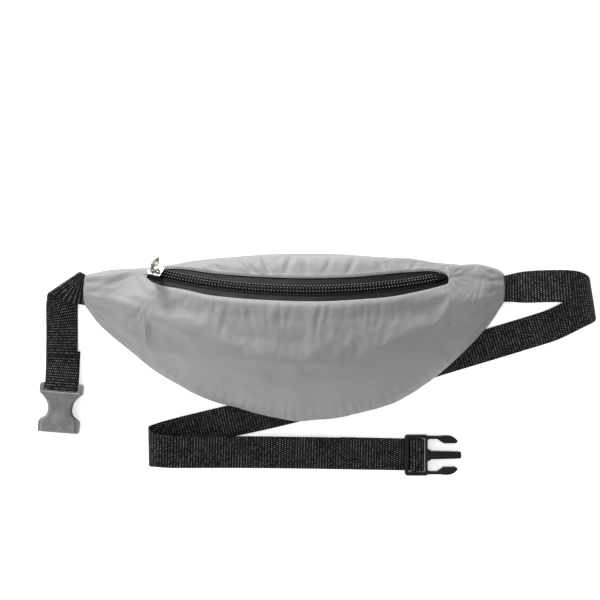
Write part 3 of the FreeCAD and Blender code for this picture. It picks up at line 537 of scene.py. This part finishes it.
for piece, body, node in (("webbing_short", "bag", "strap_short"),
                          ("webbing_long", "bag", "strap_long"),
                          ("webbing_tail", "male_half", "strap_tail")):
    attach(straps[piece], body)
    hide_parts(node)
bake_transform(straps["webbing_run"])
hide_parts("strap_run")

# ---------------------------------------------------------------- buckle
moulded("buckle_female", "female_half_moulding", 0.32, 5, "female_half", GREY_PLASTIC)
male = moulded("buckle_male", "male_half_moulding", 0.25, 4, "male_half",
               BLACK_PLASTIC)
arms = [moulded(f"buckle_arm_{side}", f"spring_arm_{side}", 0.22, 4, f"arm_{side}",
                BLACK_PLASTIC) for side in ("upper", "lower")]


def bartack(name, node, centre, turn, length, body, height):
    """A row of satin stitches side by side across the webbing, slanting by turns to either side."""
    count, gap, slant, width = 27, 0.8, 0.25, 0.75
    along = direction_at(turn)
    across = np.array([-along[1], along[0], 0.0])
    spots = [np.array(centre) + across * (i - count // 2) * gap for i in range(count)]
    slants = [unit(along + across * (slant if i % 2 else -slant)) for i in range(count)]
    mesh = beads(name, spots, slants, [(0, 0, 1)] * count, length, width, height)
    obj = put(name, mesh, BLACK_THREAD, body)
    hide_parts(node)
    return obj


bartack("tack_short_strap", "bartack_short_strap", (-182.5, -14.0, 4.15), 87.0, 2.8, "bag", 0.6)
tack_hem = bartack("tack_tail_hem", "bartack_tail_hem", (41.0, -91.22, 1.6), -1.2, 2.0,
                   "male_half", 0.45)

# ---------------------------------------------------------------- the zip's cone
# The chain lies on a circle, and its tapes on a cone about the same axis.
ZIP_X, ZIP_RADIUS = 11.3, 255.111
ZIP_CENTRE = np.array([11.3, 158.943, -184.032])
OUTWARD = np.array([0.0, -0.48192, 0.87622])
AXIS = np.array([0.0, 0.87622, 0.48192])
SLOPE = math.radians(35.0)
ACROSS = np.array([0.0, math.cos(SLOPE), -math.sin(SLOPE)])
NORMAL = np.array([0.0, math.sin(SLOPE), math.cos(SLOPE)])


def cone(x, s, n=0.0):
    """Point at X, s across the chain and n above the tape."""
    x, s, n = np.broadcast_arrays(*(np.asarray(a, float) for a in (x, s, n)))
    radius = ZIP_RADIUS + s * ACROSS.dot(OUTWARD) + n * NORMAL.dot(OUTWARD)
    rise = s * ACROSS.dot(AXIS) + n * NORMAL.dot(AXIS)
    out = np.sqrt(np.clip(radius ** 2 - (x - ZIP_X) ** 2, 1.0, None))
    point = ZIP_CENTRE + out[..., None] * OUTWARD + rise[..., None] * AXIS
    point[..., 0] = x
    return point


def curve_through(knots, x):
    """Smooth curve y(x) through knots given in order of x, held at its ends beyond them."""
    kx, ky = np.array(knots, float).T
    gap = np.diff(kx)
    slope = np.diff(ky) / gap
    inner = (slope[1:] * gap[:-1] + slope[:-1] * gap[1:]) / (kx[2:] - kx[:-2])
    tangent = np.concatenate([[slope[0]], inner, [slope[-1]]])
    i = np.clip(np.searchsorted(kx, x) - 1, 0, len(kx) - 2)
    h = kx[i + 1] - kx[i]
    t = np.clip((x - kx[i]) / h, 0, 1)
    return hermite_cubic(t, h, ky[i], ky[i + 1], tangent[i], tangent[i + 1])


SLOT_LEFT, SLOT_RIGHT = -114.5, 119.0
LEFT_TIP, RIGHT_TIP = 7.0, 2.4          # lengths over which the slot's ends close
SLOT_LOWER = [(-114.5, 44.8), (-107.6, 41.8), (-99.9, 39.6), (-88.0, 37.6), (-64.5, 32.6), (-41.5, 30.1),
              (-18.5, 28.6), (4.5, 27.8), (27.0, 27.9), (50.0, 29.3), (73.0, 31.3), (92.7, 35.0),
              (108.0, 38.5), (119.0, 41.6)]
SLOT_UPPER = [(-114.5, 48.6), (-107.0, 51.8), (-98.0, 52.8), (-88.0, 52.8), (-64.5, 49.5), (-41.5, 47.4),
              (-18.5, 46.0), (4.5, 45.3), (27.0, 45.5), (50.0, 46.6), (73.0, 48.9), (92.7, 50.5),
              (108.0, 50.8), (119.0, 47.8)]


def slot_edges(x):
    """Lower and upper edge of the zip slot, across the chain; equal where there is no slot."""
    inside = np.clip(x, SLOT_LEFT, SLOT_RIGHT)
    low, high = curve_through(SLOT_LOWER, inside), curve_through(SLOT_UPPER, inside)
    middle = (low + high) / 2
    left = np.clip((inside - SLOT_LEFT) / LEFT_TIP, 0, 1)
    right = np.clip((SLOT_RIGHT - inside) / RIGHT_TIP, 0, 1)
    opening = np.sqrt(1 - (1 - left) ** 2) * np.sqrt(1 - (1 - right) ** 2)
    s = np.linspace(-18.0, 18.0, 73)        # beyond any edge of the slot
    table = cone(inside[:, None], s[None, :])[..., 1]
    return tuple(np.array([np.interp(v, row, s) for v, row in zip(y, table)])
                 for y in (middle + (low - middle) * opening, middle + (high - middle) * opening))


# ---------------------------------------------------------------- bag body
HALF = 163.6                            # half the bag's length
SEAM = 5.0                              # height of the outer seam
FACE = 0.75                             # fabric above the tape at the slot
# Height of the front's crown, at shares of the half length.
CROWN_HEIGHTS = [(-1.0, 11.0), (-0.917, 17.0), (-0.764, 27.0), (-0.550, 38.0), (-0.275, 48.5),
                 (0.0, 52.0), (0.275, 50.0), (0.550, 41.0), (0.764, 29.0), (0.917, 18.0), (1.0, 11.0)]
# The front's section, as shares of its width and height there.
SIDE_AT, SIDE_UP = 0.09, 0.52           # the lower side, above its seam
CROWN_AT = 0.42                         # the crown
CLOSED_AT, CLOSED_UP, CLOSED_FALL = 0.74, 0.82, 0.24    # where both parts meet beyond the slot
# Outline in plan.
OUTLINE_LOW = [(-163.6, 25.0), (-154.7, 13.0), (-144.7, 3.7), (-136.0, -3.4), (-126.4, -11.0),
               (-107.7, -25.4), (-89.3, -36.3), (-79.7, -41.7), (-61.0, -49.5), (-42.6, -54.4),
               (-32.7, -57.4), (-14.3, -61.6), (4.4, -64.3), (14.0, -63.6), (32.4, -61.8),
               (51.0, -58.0), (69.4, -53.0), (79.4, -49.2), (89.0, -44.0), (107.4, -31.8),
               (126.0, -16.4), (144.4, 2.0), (154.4, 13.0), (163.6, 27.0)]
OUTLINE_HIGH = [(-163.6, 48.5), (-154.7, 50.4), (-117.6, 53.3), (-89.3, 56.7), (-70.7, 59.7),
                (-42.6, 62.3), (-14.0, 64.2), (6.0, 64.35), (32.0, 64.2), (60.8, 62.2), (89.0, 60.2),
                (107.3, 57.6), (126.3, 56.0), (154.3, 54.6), (160.5, 52.4), (163.6, 50.0)]
ROWS_LOW, ROWS_HIGH = 46, 20            # quads up the front, below and above the slot


def columns():
    """X of the grid's columns, closer together at the slot's tips and at the bag's ends."""
    spread = [np.linspace(-HALF, -120.0, 28), np.linspace(-119.0, -107.0, 15),
              np.linspace(-105.4, 112.0, 128), np.linspace(113.0, 121.0, 13),
              np.linspace(122.5, HALF, 28)]
    tips = [[SLOT_LEFT, SLOT_LEFT + 0.35, SLOT_RIGHT - 0.35, SLOT_RIGHT]]
    return np.unique(np.concatenate(spread + tips))


def hermite(points, tangents, share):
    """Chain of cubic pieces through points, sampled at shares of its chord length."""
    chord = np.linalg.norm(np.diff(points, axis=0), axis=1)
    at = np.concatenate([[0.0], np.cumsum(chord)])
    u = share * at[-1]
    i = np.clip(np.searchsorted(at, u, side="right") - 1, 0, len(chord) - 1)
    t = ((u - at[i]) / chord[i])[:, None]
    h = chord[i][:, None]
    return hermite_cubic(t, h, points[i], points[i + 1], tangents[i], tangents[i + 1])


X = columns()
FULLER = 0.8 * (1 - smoothstep(140.0, 158.0, np.abs(X)))     # a smooth surface draws in a little
LOW, HIGH = curve_through(OUTLINE_LOW, X) - FULLER, curve_through(OUTLINE_HIGH, X) + FULLER
CROWN = curve_through([(share * HALF, height) for share, height in CROWN_HEIGHTS], X)
S_LOW, S_HIGH = slot_edges(X)


def front_points():
    """Lower and upper parts of the front panel, as grids of points."""
    lower, upper = [], []
    away = smoothstep(2.0, 34.0, np.maximum(SLOT_LEFT - X, X - SLOT_RIGHT))
    for i, x in enumerate(X):
        low, high, top = LOW[i], HIGH[i], CROWN[i]
        width = high - low
        first, last = cone(x, S_LOW[i], FACE), cone(x, S_HIGH[i], FACE)
        if away[i] > 0:
            closed = np.array([x, low + CLOSED_AT * width, CLOSED_UP * top])
            first = last = (first + last) / 2 * (1 - away[i]) + closed * away[i]
        falling = unit(np.array([0, CLOSED_FALL * width, -CLOSED_FALL * top]))
        lead = unit(ACROSS * (1 - away[i]) + falling * away[i])
        start, end = np.array([x, low, SEAM]), np.array([x, high, SEAM])
        side = np.array([x, low + SIDE_AT * width, SEAM + SIDE_UP * (top - SEAM)])
        crown = np.array([x, low + CROWN_AT * width, top])
        brow = first - lead * min(4.0, 0.3 * (first[1] - crown[1]))
        points = np.array([start, side, crown, brow, first])
        level = unit(brow - side)
        tangents = np.array([(0, 0, 1), unit(crown - start), level, lead, lead])
        lower.append(hermite(points, tangents, np.linspace(0, 1, ROWS_LOW + 1)))
        bulge = np.array([0, 0.12, 0.16]) * np.linalg.norm(end - last)
        points = np.array([last, last * 0.45 + end * 0.55 + bulge, end])
        tangents = np.array([lead, unit(end - last), (0, 0, -1)])
        upper.append(hermite(points, tangents, np.linspace(0, 1, ROWS_HIGH + 1)))
    return np.array(lower), np.array(upper)


def front_mesh():
    """The front as a sheet in two parts, and which of its points are held still."""
    lower, upper = front_points()
    n = len(X)
    points = np.concatenate([lower.reshape(-1, 3), upper.reshape(-1, 3)])
    faces = grid_faces(n, ROWS_LOW + 1) + grid_faces(n, ROWS_HIGH + 1, start=n * (ROWS_LOW + 1))
    faces = [f[::-1] for f in faces]
    mesh = mesh_of("front", points, faces)
    # Held still: the outer seam, the two ends and the slot's hemmed edges.
    held_low = np.zeros((n, ROWS_LOW + 1), bool)
    held_high = np.zeros((n, ROWS_HIGH + 1), bool)
    held_low[:, :2] = held_high[:, -2:] = True
    held_low[[0, 1, -2, -1]] = held_high[[0, 1, -2, -1]] = True
    open_here = (X > SLOT_LEFT - 4) & (X < SLOT_RIGHT + 4)
    held_low[open_here, -3:] = held_high[open_here, :3] = True
    return mesh, np.concatenate([held_low.ravel(), held_high.ravel()])


CREASE_DEPTH = 0.55                     # share of their heights that all creases get
# Creases: x, y, direction of the ridge in degrees, half length, half width, height.
CREASES = [
    # star of folds at the closed end of the zip
    (126.0, 47.0, 8, 7.0, 1.2, 0.7), (124.0, 41.0, -38, 7.0, 1.2, 0.8),
    (117.0, 36.5, -68, 7.0, 1.3, 0.7), (127.0, 52.0, 38, 5.0, 1.1, 0.6),
    (131.0, 43.5, -18, 6.0, 1.2, 0.6), (121.0, 37.5, -52, 9.0, 1.0, 0.6),
    # folds where the fabric gathers into the strap at each end
    (152.0, 50.5, -28, 8.0, 1.8, 1.1), (157.0, 44.0, -8, 6.5, 1.6, 0.7),
    (156.0, 36.0, 10, 7.0, 1.8, 0.7), (151.0, 27.0, 24, 8.0, 2.0, 0.7),
    (143.0, 36.0, 70, 9.0, 1.3, 0.5), (136.0, 30.0, 58, 8.0, 1.1, 0.5),
    (-156.0, 44.0, 6, 7.0, 1.7, 0.6), (-155.0, 36.0, -4, 8.0, 1.9, 0.6),
    (-153.0, 26.0, -30, 8.0, 2.0, 0.6), (-118.0, 21.0, 58, 6.5, 1.6, 0.6),
    (-113.0, 18.0, 70, 5.5, 1.5, 0.5),
    # slanting wrinkles of the lower right
    (113.0, 9.0, 52, 10.0, 1.8, 0.7), (118.0, 12.0, 46, 9.0, 1.6, 0.6),
    (107.0, 4.0, 58, 10.0, 1.8, 0.6), (123.0, 3.0, 50, 9.0, 2.0, 0.5),
    # soft pleats above the zip
    (-35.0, 55.0, 132, 11.0, 2.2, 1.7), (-21.0, 55.0, 112, 9.0, 2.4, 1.6),
    (-4.0, 57.0, 72, 8.0, 2.2, 1.3), (9.0, 54.0, 98, 7.0, 2.6, 1.0),
    (26.0, 56.5, 60, 7.0, 2.0, 0.9), (44.0, 56.0, 64, 8.0, 2.4, 1.2),
    (66.0, 55.5, 112, 6.5, 2.2, 1.0), (-62.0, 56.0, 142, 8.0, 2.2, 1.2),
    (-84.0, 56.0, 124, 5.0, 1.8, 0.9), (92.0, 54.5, 60, 6.0, 2.0, 0.9),
    # long slack folds of the stuffed front
    (-70.0, 2.0, 24, 34.0, 7.0, 0.8), (52.0, -12.0, -20, 36.0, 8.0, 0.8),
    (-10.0, -28.0, 3, 40.0, 8.0, 0.7),
]
# Gathers along the zip's lower edge and along the bottom seam.
for x in np.arange(-88.0, 106.0, 9.5):
    x = x + rng.uniform(-2.5, 2.5)
    edge = float(curve_through(SLOT_LOWER, np.array([x]))[0])
    length = rng.uniform(6.0, 11.0)
    height = rng.uniform(0.35, 0.8) * (1.25 if -34 < x < 80 else 0.7)
    CREASES.append((x, edge - 3.0 - length * 0.8, 90 + rng.uniform(-16, 16), length,
                    rng.uniform(1.5, 2.4), height))
for x in np.arange(-126.0, 132.0, 7.5):
    x = x + rng.uniform(-2.2, 2.2)
    edge = float(curve_through(OUTLINE_LOW, np.array([x]))[0])
    further = float(curve_through(OUTLINE_LOW, np.array([x + 4]))[0])
    lean = math.degrees(math.atan2(further - edge, 4.0))
    length = rng.uniform(4.0, 8.0)
    CREASES.append((x, edge + 5.0, 90 + lean + rng.uniform(-14, 14), length, rng.uniform(1.4, 2.2),
                    rng.uniform(0.4, 0.9)))


def crease_field(co):
    """Height of all creases at points in millimetres."""
    total = np.zeros(len(co))
    for x, y, turn, length, width, height in CREASES:
        c, s = math.cos(math.radians(turn)), math.sin(math.radians(turn))
        dx, dy = co[:, 0] - x, co[:, 1] - y
        along, across = (dx * c + dy * s) / length, (-dx * s + dy * c) / width
        ridge = (np.exp(-across ** 2) - 0.55 * np.exp(-((across - 1.9) ** 2))
                 - 0.35 * np.exp(-((across + 1.9) ** 2)))
        total += CREASE_DEPTH * height * np.exp(-along ** 2) * ridge
    return total


def slack(obj, held, cap, pressure, growth, frames=22):
    """Let the fabric settle: held at its seams, blown gently from inside, with spare width."""
    before = coordinates(obj.data)
    group = obj.vertex_groups.new(name="held")
    for i in np.flatnonzero(held):
        group.add([int(i)], 1.0, "REPLACE")
    cloth = obj.modifiers.new("slack", "CLOTH")
    settings = cloth.settings
    settings.quality = 5
    settings.mass = 0.12
    settings.tension_stiffness = settings.compression_stiffness = 18
    settings.shear_stiffness = 8
    settings.bending_stiffness = 0.12
    settings.vertex_group_mass = "held"
    settings.use_pressure = True
    settings.uniform_pressure_force = pressure
    settings.shrink_min = settings.shrink_max = -growth
    settings.effector_weights.gravity = 0
    cloth.collision_settings.use_collision = False
    cloth.collision_settings.use_self_collision = False
    cloth.point_cache.frame_start, cloth.point_cache.frame_end = 1, frames + 2
    for f in range(1, frames + 1):
        scene.frame_set(f)
    graph = bpy.context.evaluated_depsgraph_get()
    settled = obj.evaluated_get(graph).to_mesh()
    after = coordinates(settled)
    obj.evaluated_get(graph).to_mesh_clear()
    obj.modifiers.clear()
    obj.vertex_groups.clear()
    scene.frame_set(1)
    move = after - before
    far = np.linalg.norm(move, axis=1, keepdims=True)
    move *= np.minimum(1.0, cap * MM / np.maximum(far, 1e-9))
    set_coordinates(obj.data, before + move)


mesh, held = front_mesh()
held_points = {tuple(np.round(p, 6)) for p in coordinates(mesh)[held]}
weld(mesh, 2e-6)
front = put("fabric_front", mesh, FABRIC)
still = [tuple(np.round(p, 6)) in held_points for p in coordinates(mesh)]
slack(front, still, cap=4.0, pressure=1.2, growth=0.006)
subdivide = front.modifiers.new("fine", "SUBSURF")
subdivide.levels = subdivide.render_levels = 1
finished(front)
co = coordinates(front.data)
shaped = co / MM
at_x = shaped[:, 0]
# Creases fade out towards the outer seam, the ends and the zip.
edge_low = shaped[:, 1] - curve_through(OUTLINE_LOW, at_x)
edge_high = curve_through(OUTLINE_HIGH, at_x) - shaped[:, 1]
fade = smoothstep(0.0, 2.5, np.minimum(edge_low, edge_high))
fade *= smoothstep(0.0, 3.0, HALF - np.abs(at_x))
to_slot = np.minimum(*(np.linalg.norm(shaped - cone(at_x, s, FACE), axis=1) for s in slot_edges(at_x)))
open_here = (at_x > SLOT_LEFT - 2) & (at_x < SLOT_RIGHT + 2)
fade *= np.where(open_here, smoothstep(1.0, 4.0, to_slot), 1.0)
lift = crease_field(shaped) * fade
# The hem beside the slot: a raised fold, with a groove behind its stitching.
fold = 0.35 * np.exp(-((to_slot - 0.9) / 0.8) ** 2)
groove = 0.25 * np.exp(-((to_slot - 2.4) / 0.7) ** 2)
hem = np.where(open_here, fold - groove, 0)
set_coordinates(front.data, co + normals_of(front.data) * ((lift + hem) * MM)[:, None])
thicken(front)
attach(front, "bag")
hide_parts("front_panel")

# ---------------------------------------------------------------- back panel
BACK_ROWS = 60
GROOVE, GROOVE_INNER, GROOVE_OUTER = 2.1, 13.2, 19.0    # its height, and its edges from the strap's line


def groove_lift(co):
    """The back rides over the strap that passes under it."""
    line = paths["webbing_long"][::6, :2] / MM
    off = np.array([np.min(np.sum((line - p) ** 2, axis=1)) for p in co[:, :2]]) ** 0.5
    return GROOVE * (1 - smoothstep(GROOVE_INNER, GROOVE_OUTER, off))


def back_mesh():
    """The back as a sheet that turns up to the seam all round, with a slightly uneven floor."""
    points = []
    for x, low, high in zip(X, LOW, HIGH):
        turn = np.linspace(0, math.pi / 2, 7)
        left = np.stack([low + SEAM * (1 - np.cos(turn)), SEAM * (1 - np.sin(turn))], 1)
        right = np.stack([high - SEAM * (1 - np.cos(turn)), SEAM * (1 - np.sin(turn))], 1)[::-1]
        flat = np.linspace(low + SEAM, high - SEAM, BACK_ROWS + 2)[1:-1]
        row = np.concatenate([left, np.stack([flat, np.zeros(BACK_ROWS)], 1), right])
        points.append(np.column_stack([np.full(len(row), x), row]))
    points = np.array(points)
    flat = points.reshape(-1, 3)
    drift = np.sin(flat[:, 1] * 0.07) * 2
    soft = 0.5 + 0.35 * np.sin(flat[:, 0] * 0.11 + drift) * np.sin(flat[:, 1] * 0.13)
    inside = smoothstep(2.0, 12.0, np.minimum(flat[:, 1] - np.repeat(LOW, points.shape[1]),
                                              np.repeat(HIGH, points.shape[1]) - flat[:, 1]))
    floor = flat[:, 2] + soft * inside * 0.9 + 0.05
    flat[:, 2] = np.maximum(floor, groove_lift(flat))
    faces = [f[::-1] for f in grid_faces(points.shape[0], points.shape[1])]
    return mesh_of("back", flat, faces)


back = put("fabric_back", back_mesh(), FABRIC)
thicken(back)
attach(back, "bag")
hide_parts("back_panel")


def end_gusset(side):
    """Gathered end of the bag, where the fabric closes over the strap's root."""
    i = 0 if side < 0 else -1
    lower, upper = front_points()
    rim = np.concatenate([lower[i], upper[i][1:]])
    middle = (LOW[i] + HIGH[i]) / 2
    rings = []
    for t in np.linspace(0, 1, 8):
        out = np.full(len(rim), side * (HALF + 1.6 * math.sin(t * math.pi / 2)))
        rings.append(np.column_stack([out, rim[:, 1] + (middle - rim[:, 1]) * t * 0.25,
                                      SEAM + (rim[:, 2] - SEAM) * (1 - t)]))
    rings = np.array(rings)
    faces = grid_faces(rings.shape[0], rings.shape[1])
    mesh = mesh_of("gusset", rings.reshape(-1, 3), faces if side > 0 else [f[::-1] for f in faces])
    obj = put(f"fabric_end_{'right' if side > 0 else 'left'}", mesh, FABRIC)
    thicken(obj)
    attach(obj, "bag")
    return obj


gussets = [end_gusset(-1), end_gusset(1)]

# ---------------------------------------------------------------- zip
TAPE_HALF = 0.3                         # half a tape's thickness
TAPE_GAP = 0.35                         # from the chain's line to a tape's near edge
TAPE_END, UPPER_END = 0.6, 1.9          # the tapes stop this far inside the slot; the upper one, left
TAPE_RIB, TAPE_PICK = 1.15, 1.3         # the weave's repeats across and along
CORD_AT = 4.0                           # the raised cord, from the chain's line


def zip_tape(name, side, node):
    """One tape: woven strip with a raised cord along the chain, its far edge under the fabric."""
    x = np.linspace(SLOT_LEFT + (UPPER_END if side > 0 else TAPE_END), SLOT_RIGHT - TAPE_END, 300)
    s_low, s_high = slot_edges(x)
    tip = smoothstep(0.0, 5.0, np.minimum(x - SLOT_LEFT, SLOT_RIGHT - x))
    # The fabric overlaps the tape by this much.
    under = 0.3 + 0.9 * tip if side < 0 else -0.15 + 1.35 * smoothstep(-112.0, -80.0, x) * tip
    outer = np.abs(s_low if side < 0 else s_high) + under
    share = np.linspace(0, 1, 24)
    s = side * (TAPE_GAP + (outer[:, None] - TAPE_GAP) * share[None, :])
    ribs = np.sin(np.abs(s) * 2 * math.pi / TAPE_RIB)
    picks = np.sin(x * 2 * math.pi / TAPE_PICK)[:, None]
    wavy = 0.16 * np.sin(x * 0.21 + side)[:, None] * smoothstep(0.5, 1.0, share)[None, :]
    wavy = wavy - 0.7 * (1 - tip)[:, None]
    cord = 0.45 * np.exp(-((np.abs(s) - CORD_AT) / 0.55) ** 2)
    face = 0.10 * ribs + 0.05 * picks + cord
    grids = [cone(x[:, None], s, TAPE_HALF + face + wavy), cone(x[:, None], s, -TAPE_HALF + wavy)]
    n, m = s.shape
    points = np.concatenate([grid.reshape(-1, 3) for grid in grids])
    faces = grid_faces(n, m) + [f[::-1] for f in grid_faces(n, m, start=n * m)]
    rim = ([(i, 0) for i in range(n)] + [(n - 1, j) for j in range(1, m)]
           + [(i, m - 1) for i in range(n - 2, -1, -1)] + [(0, j) for j in range(m - 2, 0, -1)])
    for (a, b), (c, d) in zip(rim, rim[1:] + rim[:1]):
        p, q = a * m + b, c * m + d
        faces.append((p, q, q + n * m, p + n * m))
    # The weave sets the tape's colour, as painted shade between the yarns and a painted highlight on
    # their crowns.
    weave = 0.5 + 0.3 * ribs * picks
    weave = np.clip(weave + rng.normal(0, 0.12, weave.shape), 0, 1).ravel()
    mesh = mesh_of(name, points, faces, np.concatenate([weave, weave]))
    fix_normals(mesh)
    obj = put(name, mesh, TAPE, "bag")
    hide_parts(node)
    return obj


def arc_frame(angle):
    """Point of the chain and its along, across and outward directions at an angle in degrees."""
    a = math.radians(angle)
    c, s = math.cos(a), math.sin(a)
    out = OUTWARD * c + np.array([1.0, 0, 0]) * s
    along = np.array([1.0, 0, 0]) * c - OUTWARD * s
    across = out * ACROSS.dot(OUTWARD) + AXIS * ACROSS.dot(AXIS)
    normal = out * NORMAL.dot(OUTWARD) + AXIS * NORMAL.dot(AXIS)
    return ZIP_CENTRE + out * ZIP_RADIUS, along, across, normal


CHAIN_FROM, CHAIN_TO = -27.9, 22.3      # the chain's ends, in degrees on its circle
COIL_PITCH = 2.4
COIL_STEP = math.degrees(COIL_PITCH / ZIP_RADIUS)


def zip_coil(name, side, node):
    """Helix of nylon filament, flattened, along one tape."""
    per_turn, sides, wire = 16, 6, 0.42
    off, half_wide, up, half_high = 1.5, 1.25, 1.35, 0.85
    turns = (CHAIN_TO - CHAIN_FROM) / COIL_STEP
    line = []
    for t in np.linspace(0, turns * 2 * math.pi, int(turns * per_turn)):
        at, _, across, normal = arc_frame(CHAIN_FROM + COIL_STEP * t / (2 * math.pi))
        line.append(at + across * (side * (off - half_wide * math.cos(t)))
                    + normal * (up + half_high * math.sin(t)))
    line = np.array(line)
    run = unit(np.gradient(line, axis=0))
    a = unit(np.cross(run, np.array([1.0, 0.0, 0.0])))
    b = np.cross(run, a)
    spin = np.arange(sides) * 2 * math.pi / sides
    rings = line[:, None, :] + wire * (np.cos(spin)[None, :, None] * a[:, None, :]
                                       + np.sin(spin)[None, :, None] * b[:, None, :])
    faces = grid_faces(len(line), sides, closed=True)
    faces += [tuple(range(sides))[::-1], tuple(len(line) * sides - sides + k for k in range(sides))]
    mesh = mesh_of(name, rings.reshape(-1, 3), faces)
    fix_normals(mesh)
    obj = put(name, mesh, COIL, "bag")
    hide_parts(node)
    return obj


def zip_stitches(name, rows):
    """Rows of stitches along a coil, pale as a painted highlight on the coil. A row is its place across
    the chain and its height there.
    """
    spots, alongs, ups = [], [], []
    for row, (s, n) in enumerate(rows):
        for angle in np.arange(CHAIN_FROM + 0.5 * row * COIL_STEP, CHAIN_TO, COIL_STEP):
            at, along, across, normal = arc_frame(angle)
            spots.append(at + across * s + normal * n)
            alongs.append(along + across * math.copysign(0.15, s))
            ups.append(normal)
    mesh = beads(name, spots, alongs, ups, 0.85, 0.9, 0.5, sides=6, rings=4)
    return put(name, mesh, COIL_THREAD_HIGHLIGHT, "bag")


zip_tape("tape_upper", 1, "zipper_tape_upper")
zip_tape("tape_lower", -1, "zipper_tape_lower")
zip_coil("coil_upper", 1, "zipper_coil_upper")
zip_coil("coil_lower", -1, "zipper_coil_lower")
zip_stitches("coil_stitch_highlights_upper", [(0.9, 2.7), (4.2, 0.9)])
zip_stitches("coil_stitch_highlights_lower", [(-1.9, 2.5)])
moulded("zipper_bottom_stop", "zip_end_stop", 0.16, 4, "bag", COIL)
moulded("zipper_slider_body", "slider_plates", 0.14, 3, "zip_slider", METAL)
moulded("zipper_slider_bridge", "slider_arch", 0.12, 3, "zip_slider", METAL)
moulded("zipper_pull_tab", "slider_pull", 0.14, 3, "zip_pull", METAL)


def topstitch(name, upper, material):
    """Stitch line through the fabric just outside the slot."""
    gap, raised = 2.4, 0.42
    x = np.arange(SLOT_LEFT + 7.0, SLOT_RIGHT - 3.0, gap)
    x = x + rng.normal(0.0, 0.12, len(x))
    s_low, s_high = slot_edges(x)
    spots = cone(x, s_high + 0.9 if upper else s_low - 1.2, FACE + raised)
    mesh = beads(name, spots, np.gradient(spots, axis=0), [NORMAL] * len(x), 1.5, 0.7, 0.5,
                 sides=6, rings=4)
    return put(name, mesh, material, "bag")


# The upper row's dark thread is painted shade of the notches along the slot's upper edge; the lower row
# is grey thread.
stitching = [topstitch("topstitch_upper_painted_shade", True, SHADE_DARK_THREAD),
             topstitch("topstitch_lower", False, GREY_THREAD)]

# ---------------------------------------------------------------- floor, light, view
REACH, FLOOR_Z = 3000, -0.05
floor_mesh = mesh_of("floor", [(-REACH, -REACH, FLOOR_Z), (REACH, -REACH, FLOOR_Z),
                               (REACH, REACH, FLOOR_Z), (-REACH, REACH, FLOOR_Z)], [(0, 1, 2, 3)])
paper = Finish("pale_floor")
paper.colour(paper.noise(3.0), [(0.3, (0.93, 0.93, 0.93)), (0.7, (0.95, 0.95, 0.95))])
paper.rough(paper.noise(40.0), 0.8, 0.9)
paper.set(Emission_Color=(1.0, 1.0, 1.0, 1.0), Emission_Strength=0.38)
floor = put("floor", floor_mesh, paper.material)

BRIGHT_SIDE = (-0.62, 0.05, -0.72)      # the sky is strongest where this points
SKY_LOW, SKY_HIGH = 0.62, 2.80
world = bpy.data.worlds.new("studio")
world.use_nodes = True
sky = world.node_tree.nodes["Background"]
direction = world.node_tree.nodes.new("ShaderNodeTexCoord")
towards = world.node_tree.nodes.new("ShaderNodeVectorMath")
towards.operation = "DOT_PRODUCT"
towards.inputs[1].default_value = BRIGHT_SIDE
level = world.node_tree.nodes.new("ShaderNodeMapRange")
level.inputs["From Min"].default_value = -1.0
level.inputs["To Min"].default_value = SKY_LOW
level.inputs["To Max"].default_value = SKY_HIGH
world.node_tree.links.new(direction.outputs["Generated"], towards.inputs[0])
world.node_tree.links.new(towards.outputs["Value"], level.inputs["Value"])
world.node_tree.links.new(level.outputs["Result"], sky.inputs["Strength"])
sky.inputs["Color"].default_value = (1.0, 1.0, 1.0, 1.0)
scene.world = world


def soft_light(name, place, target, width, power):
    data = bpy.data.lights.new(name, "AREA")
    data.size = width
    data.energy = power
    light = bpy.data.objects.new(name, data)
    light.location = place
    light.rotation_euler = (Vector(target) - Vector(place)).to_track_quat("-Z", "Y").to_euler()
    scene.collection.objects.link(light)


soft_light("key", place=(-0.6, 1.9, 0.22), target=(0, 0, 0), width=0.4, power=48.0)
soft_light("fill", place=(-1.3, -1.5, 0.30), target=(0, 0, 0), width=0.5, power=10.0)
scene.view_settings.view_transform = "Standard"
scene.view_settings.look = "None"
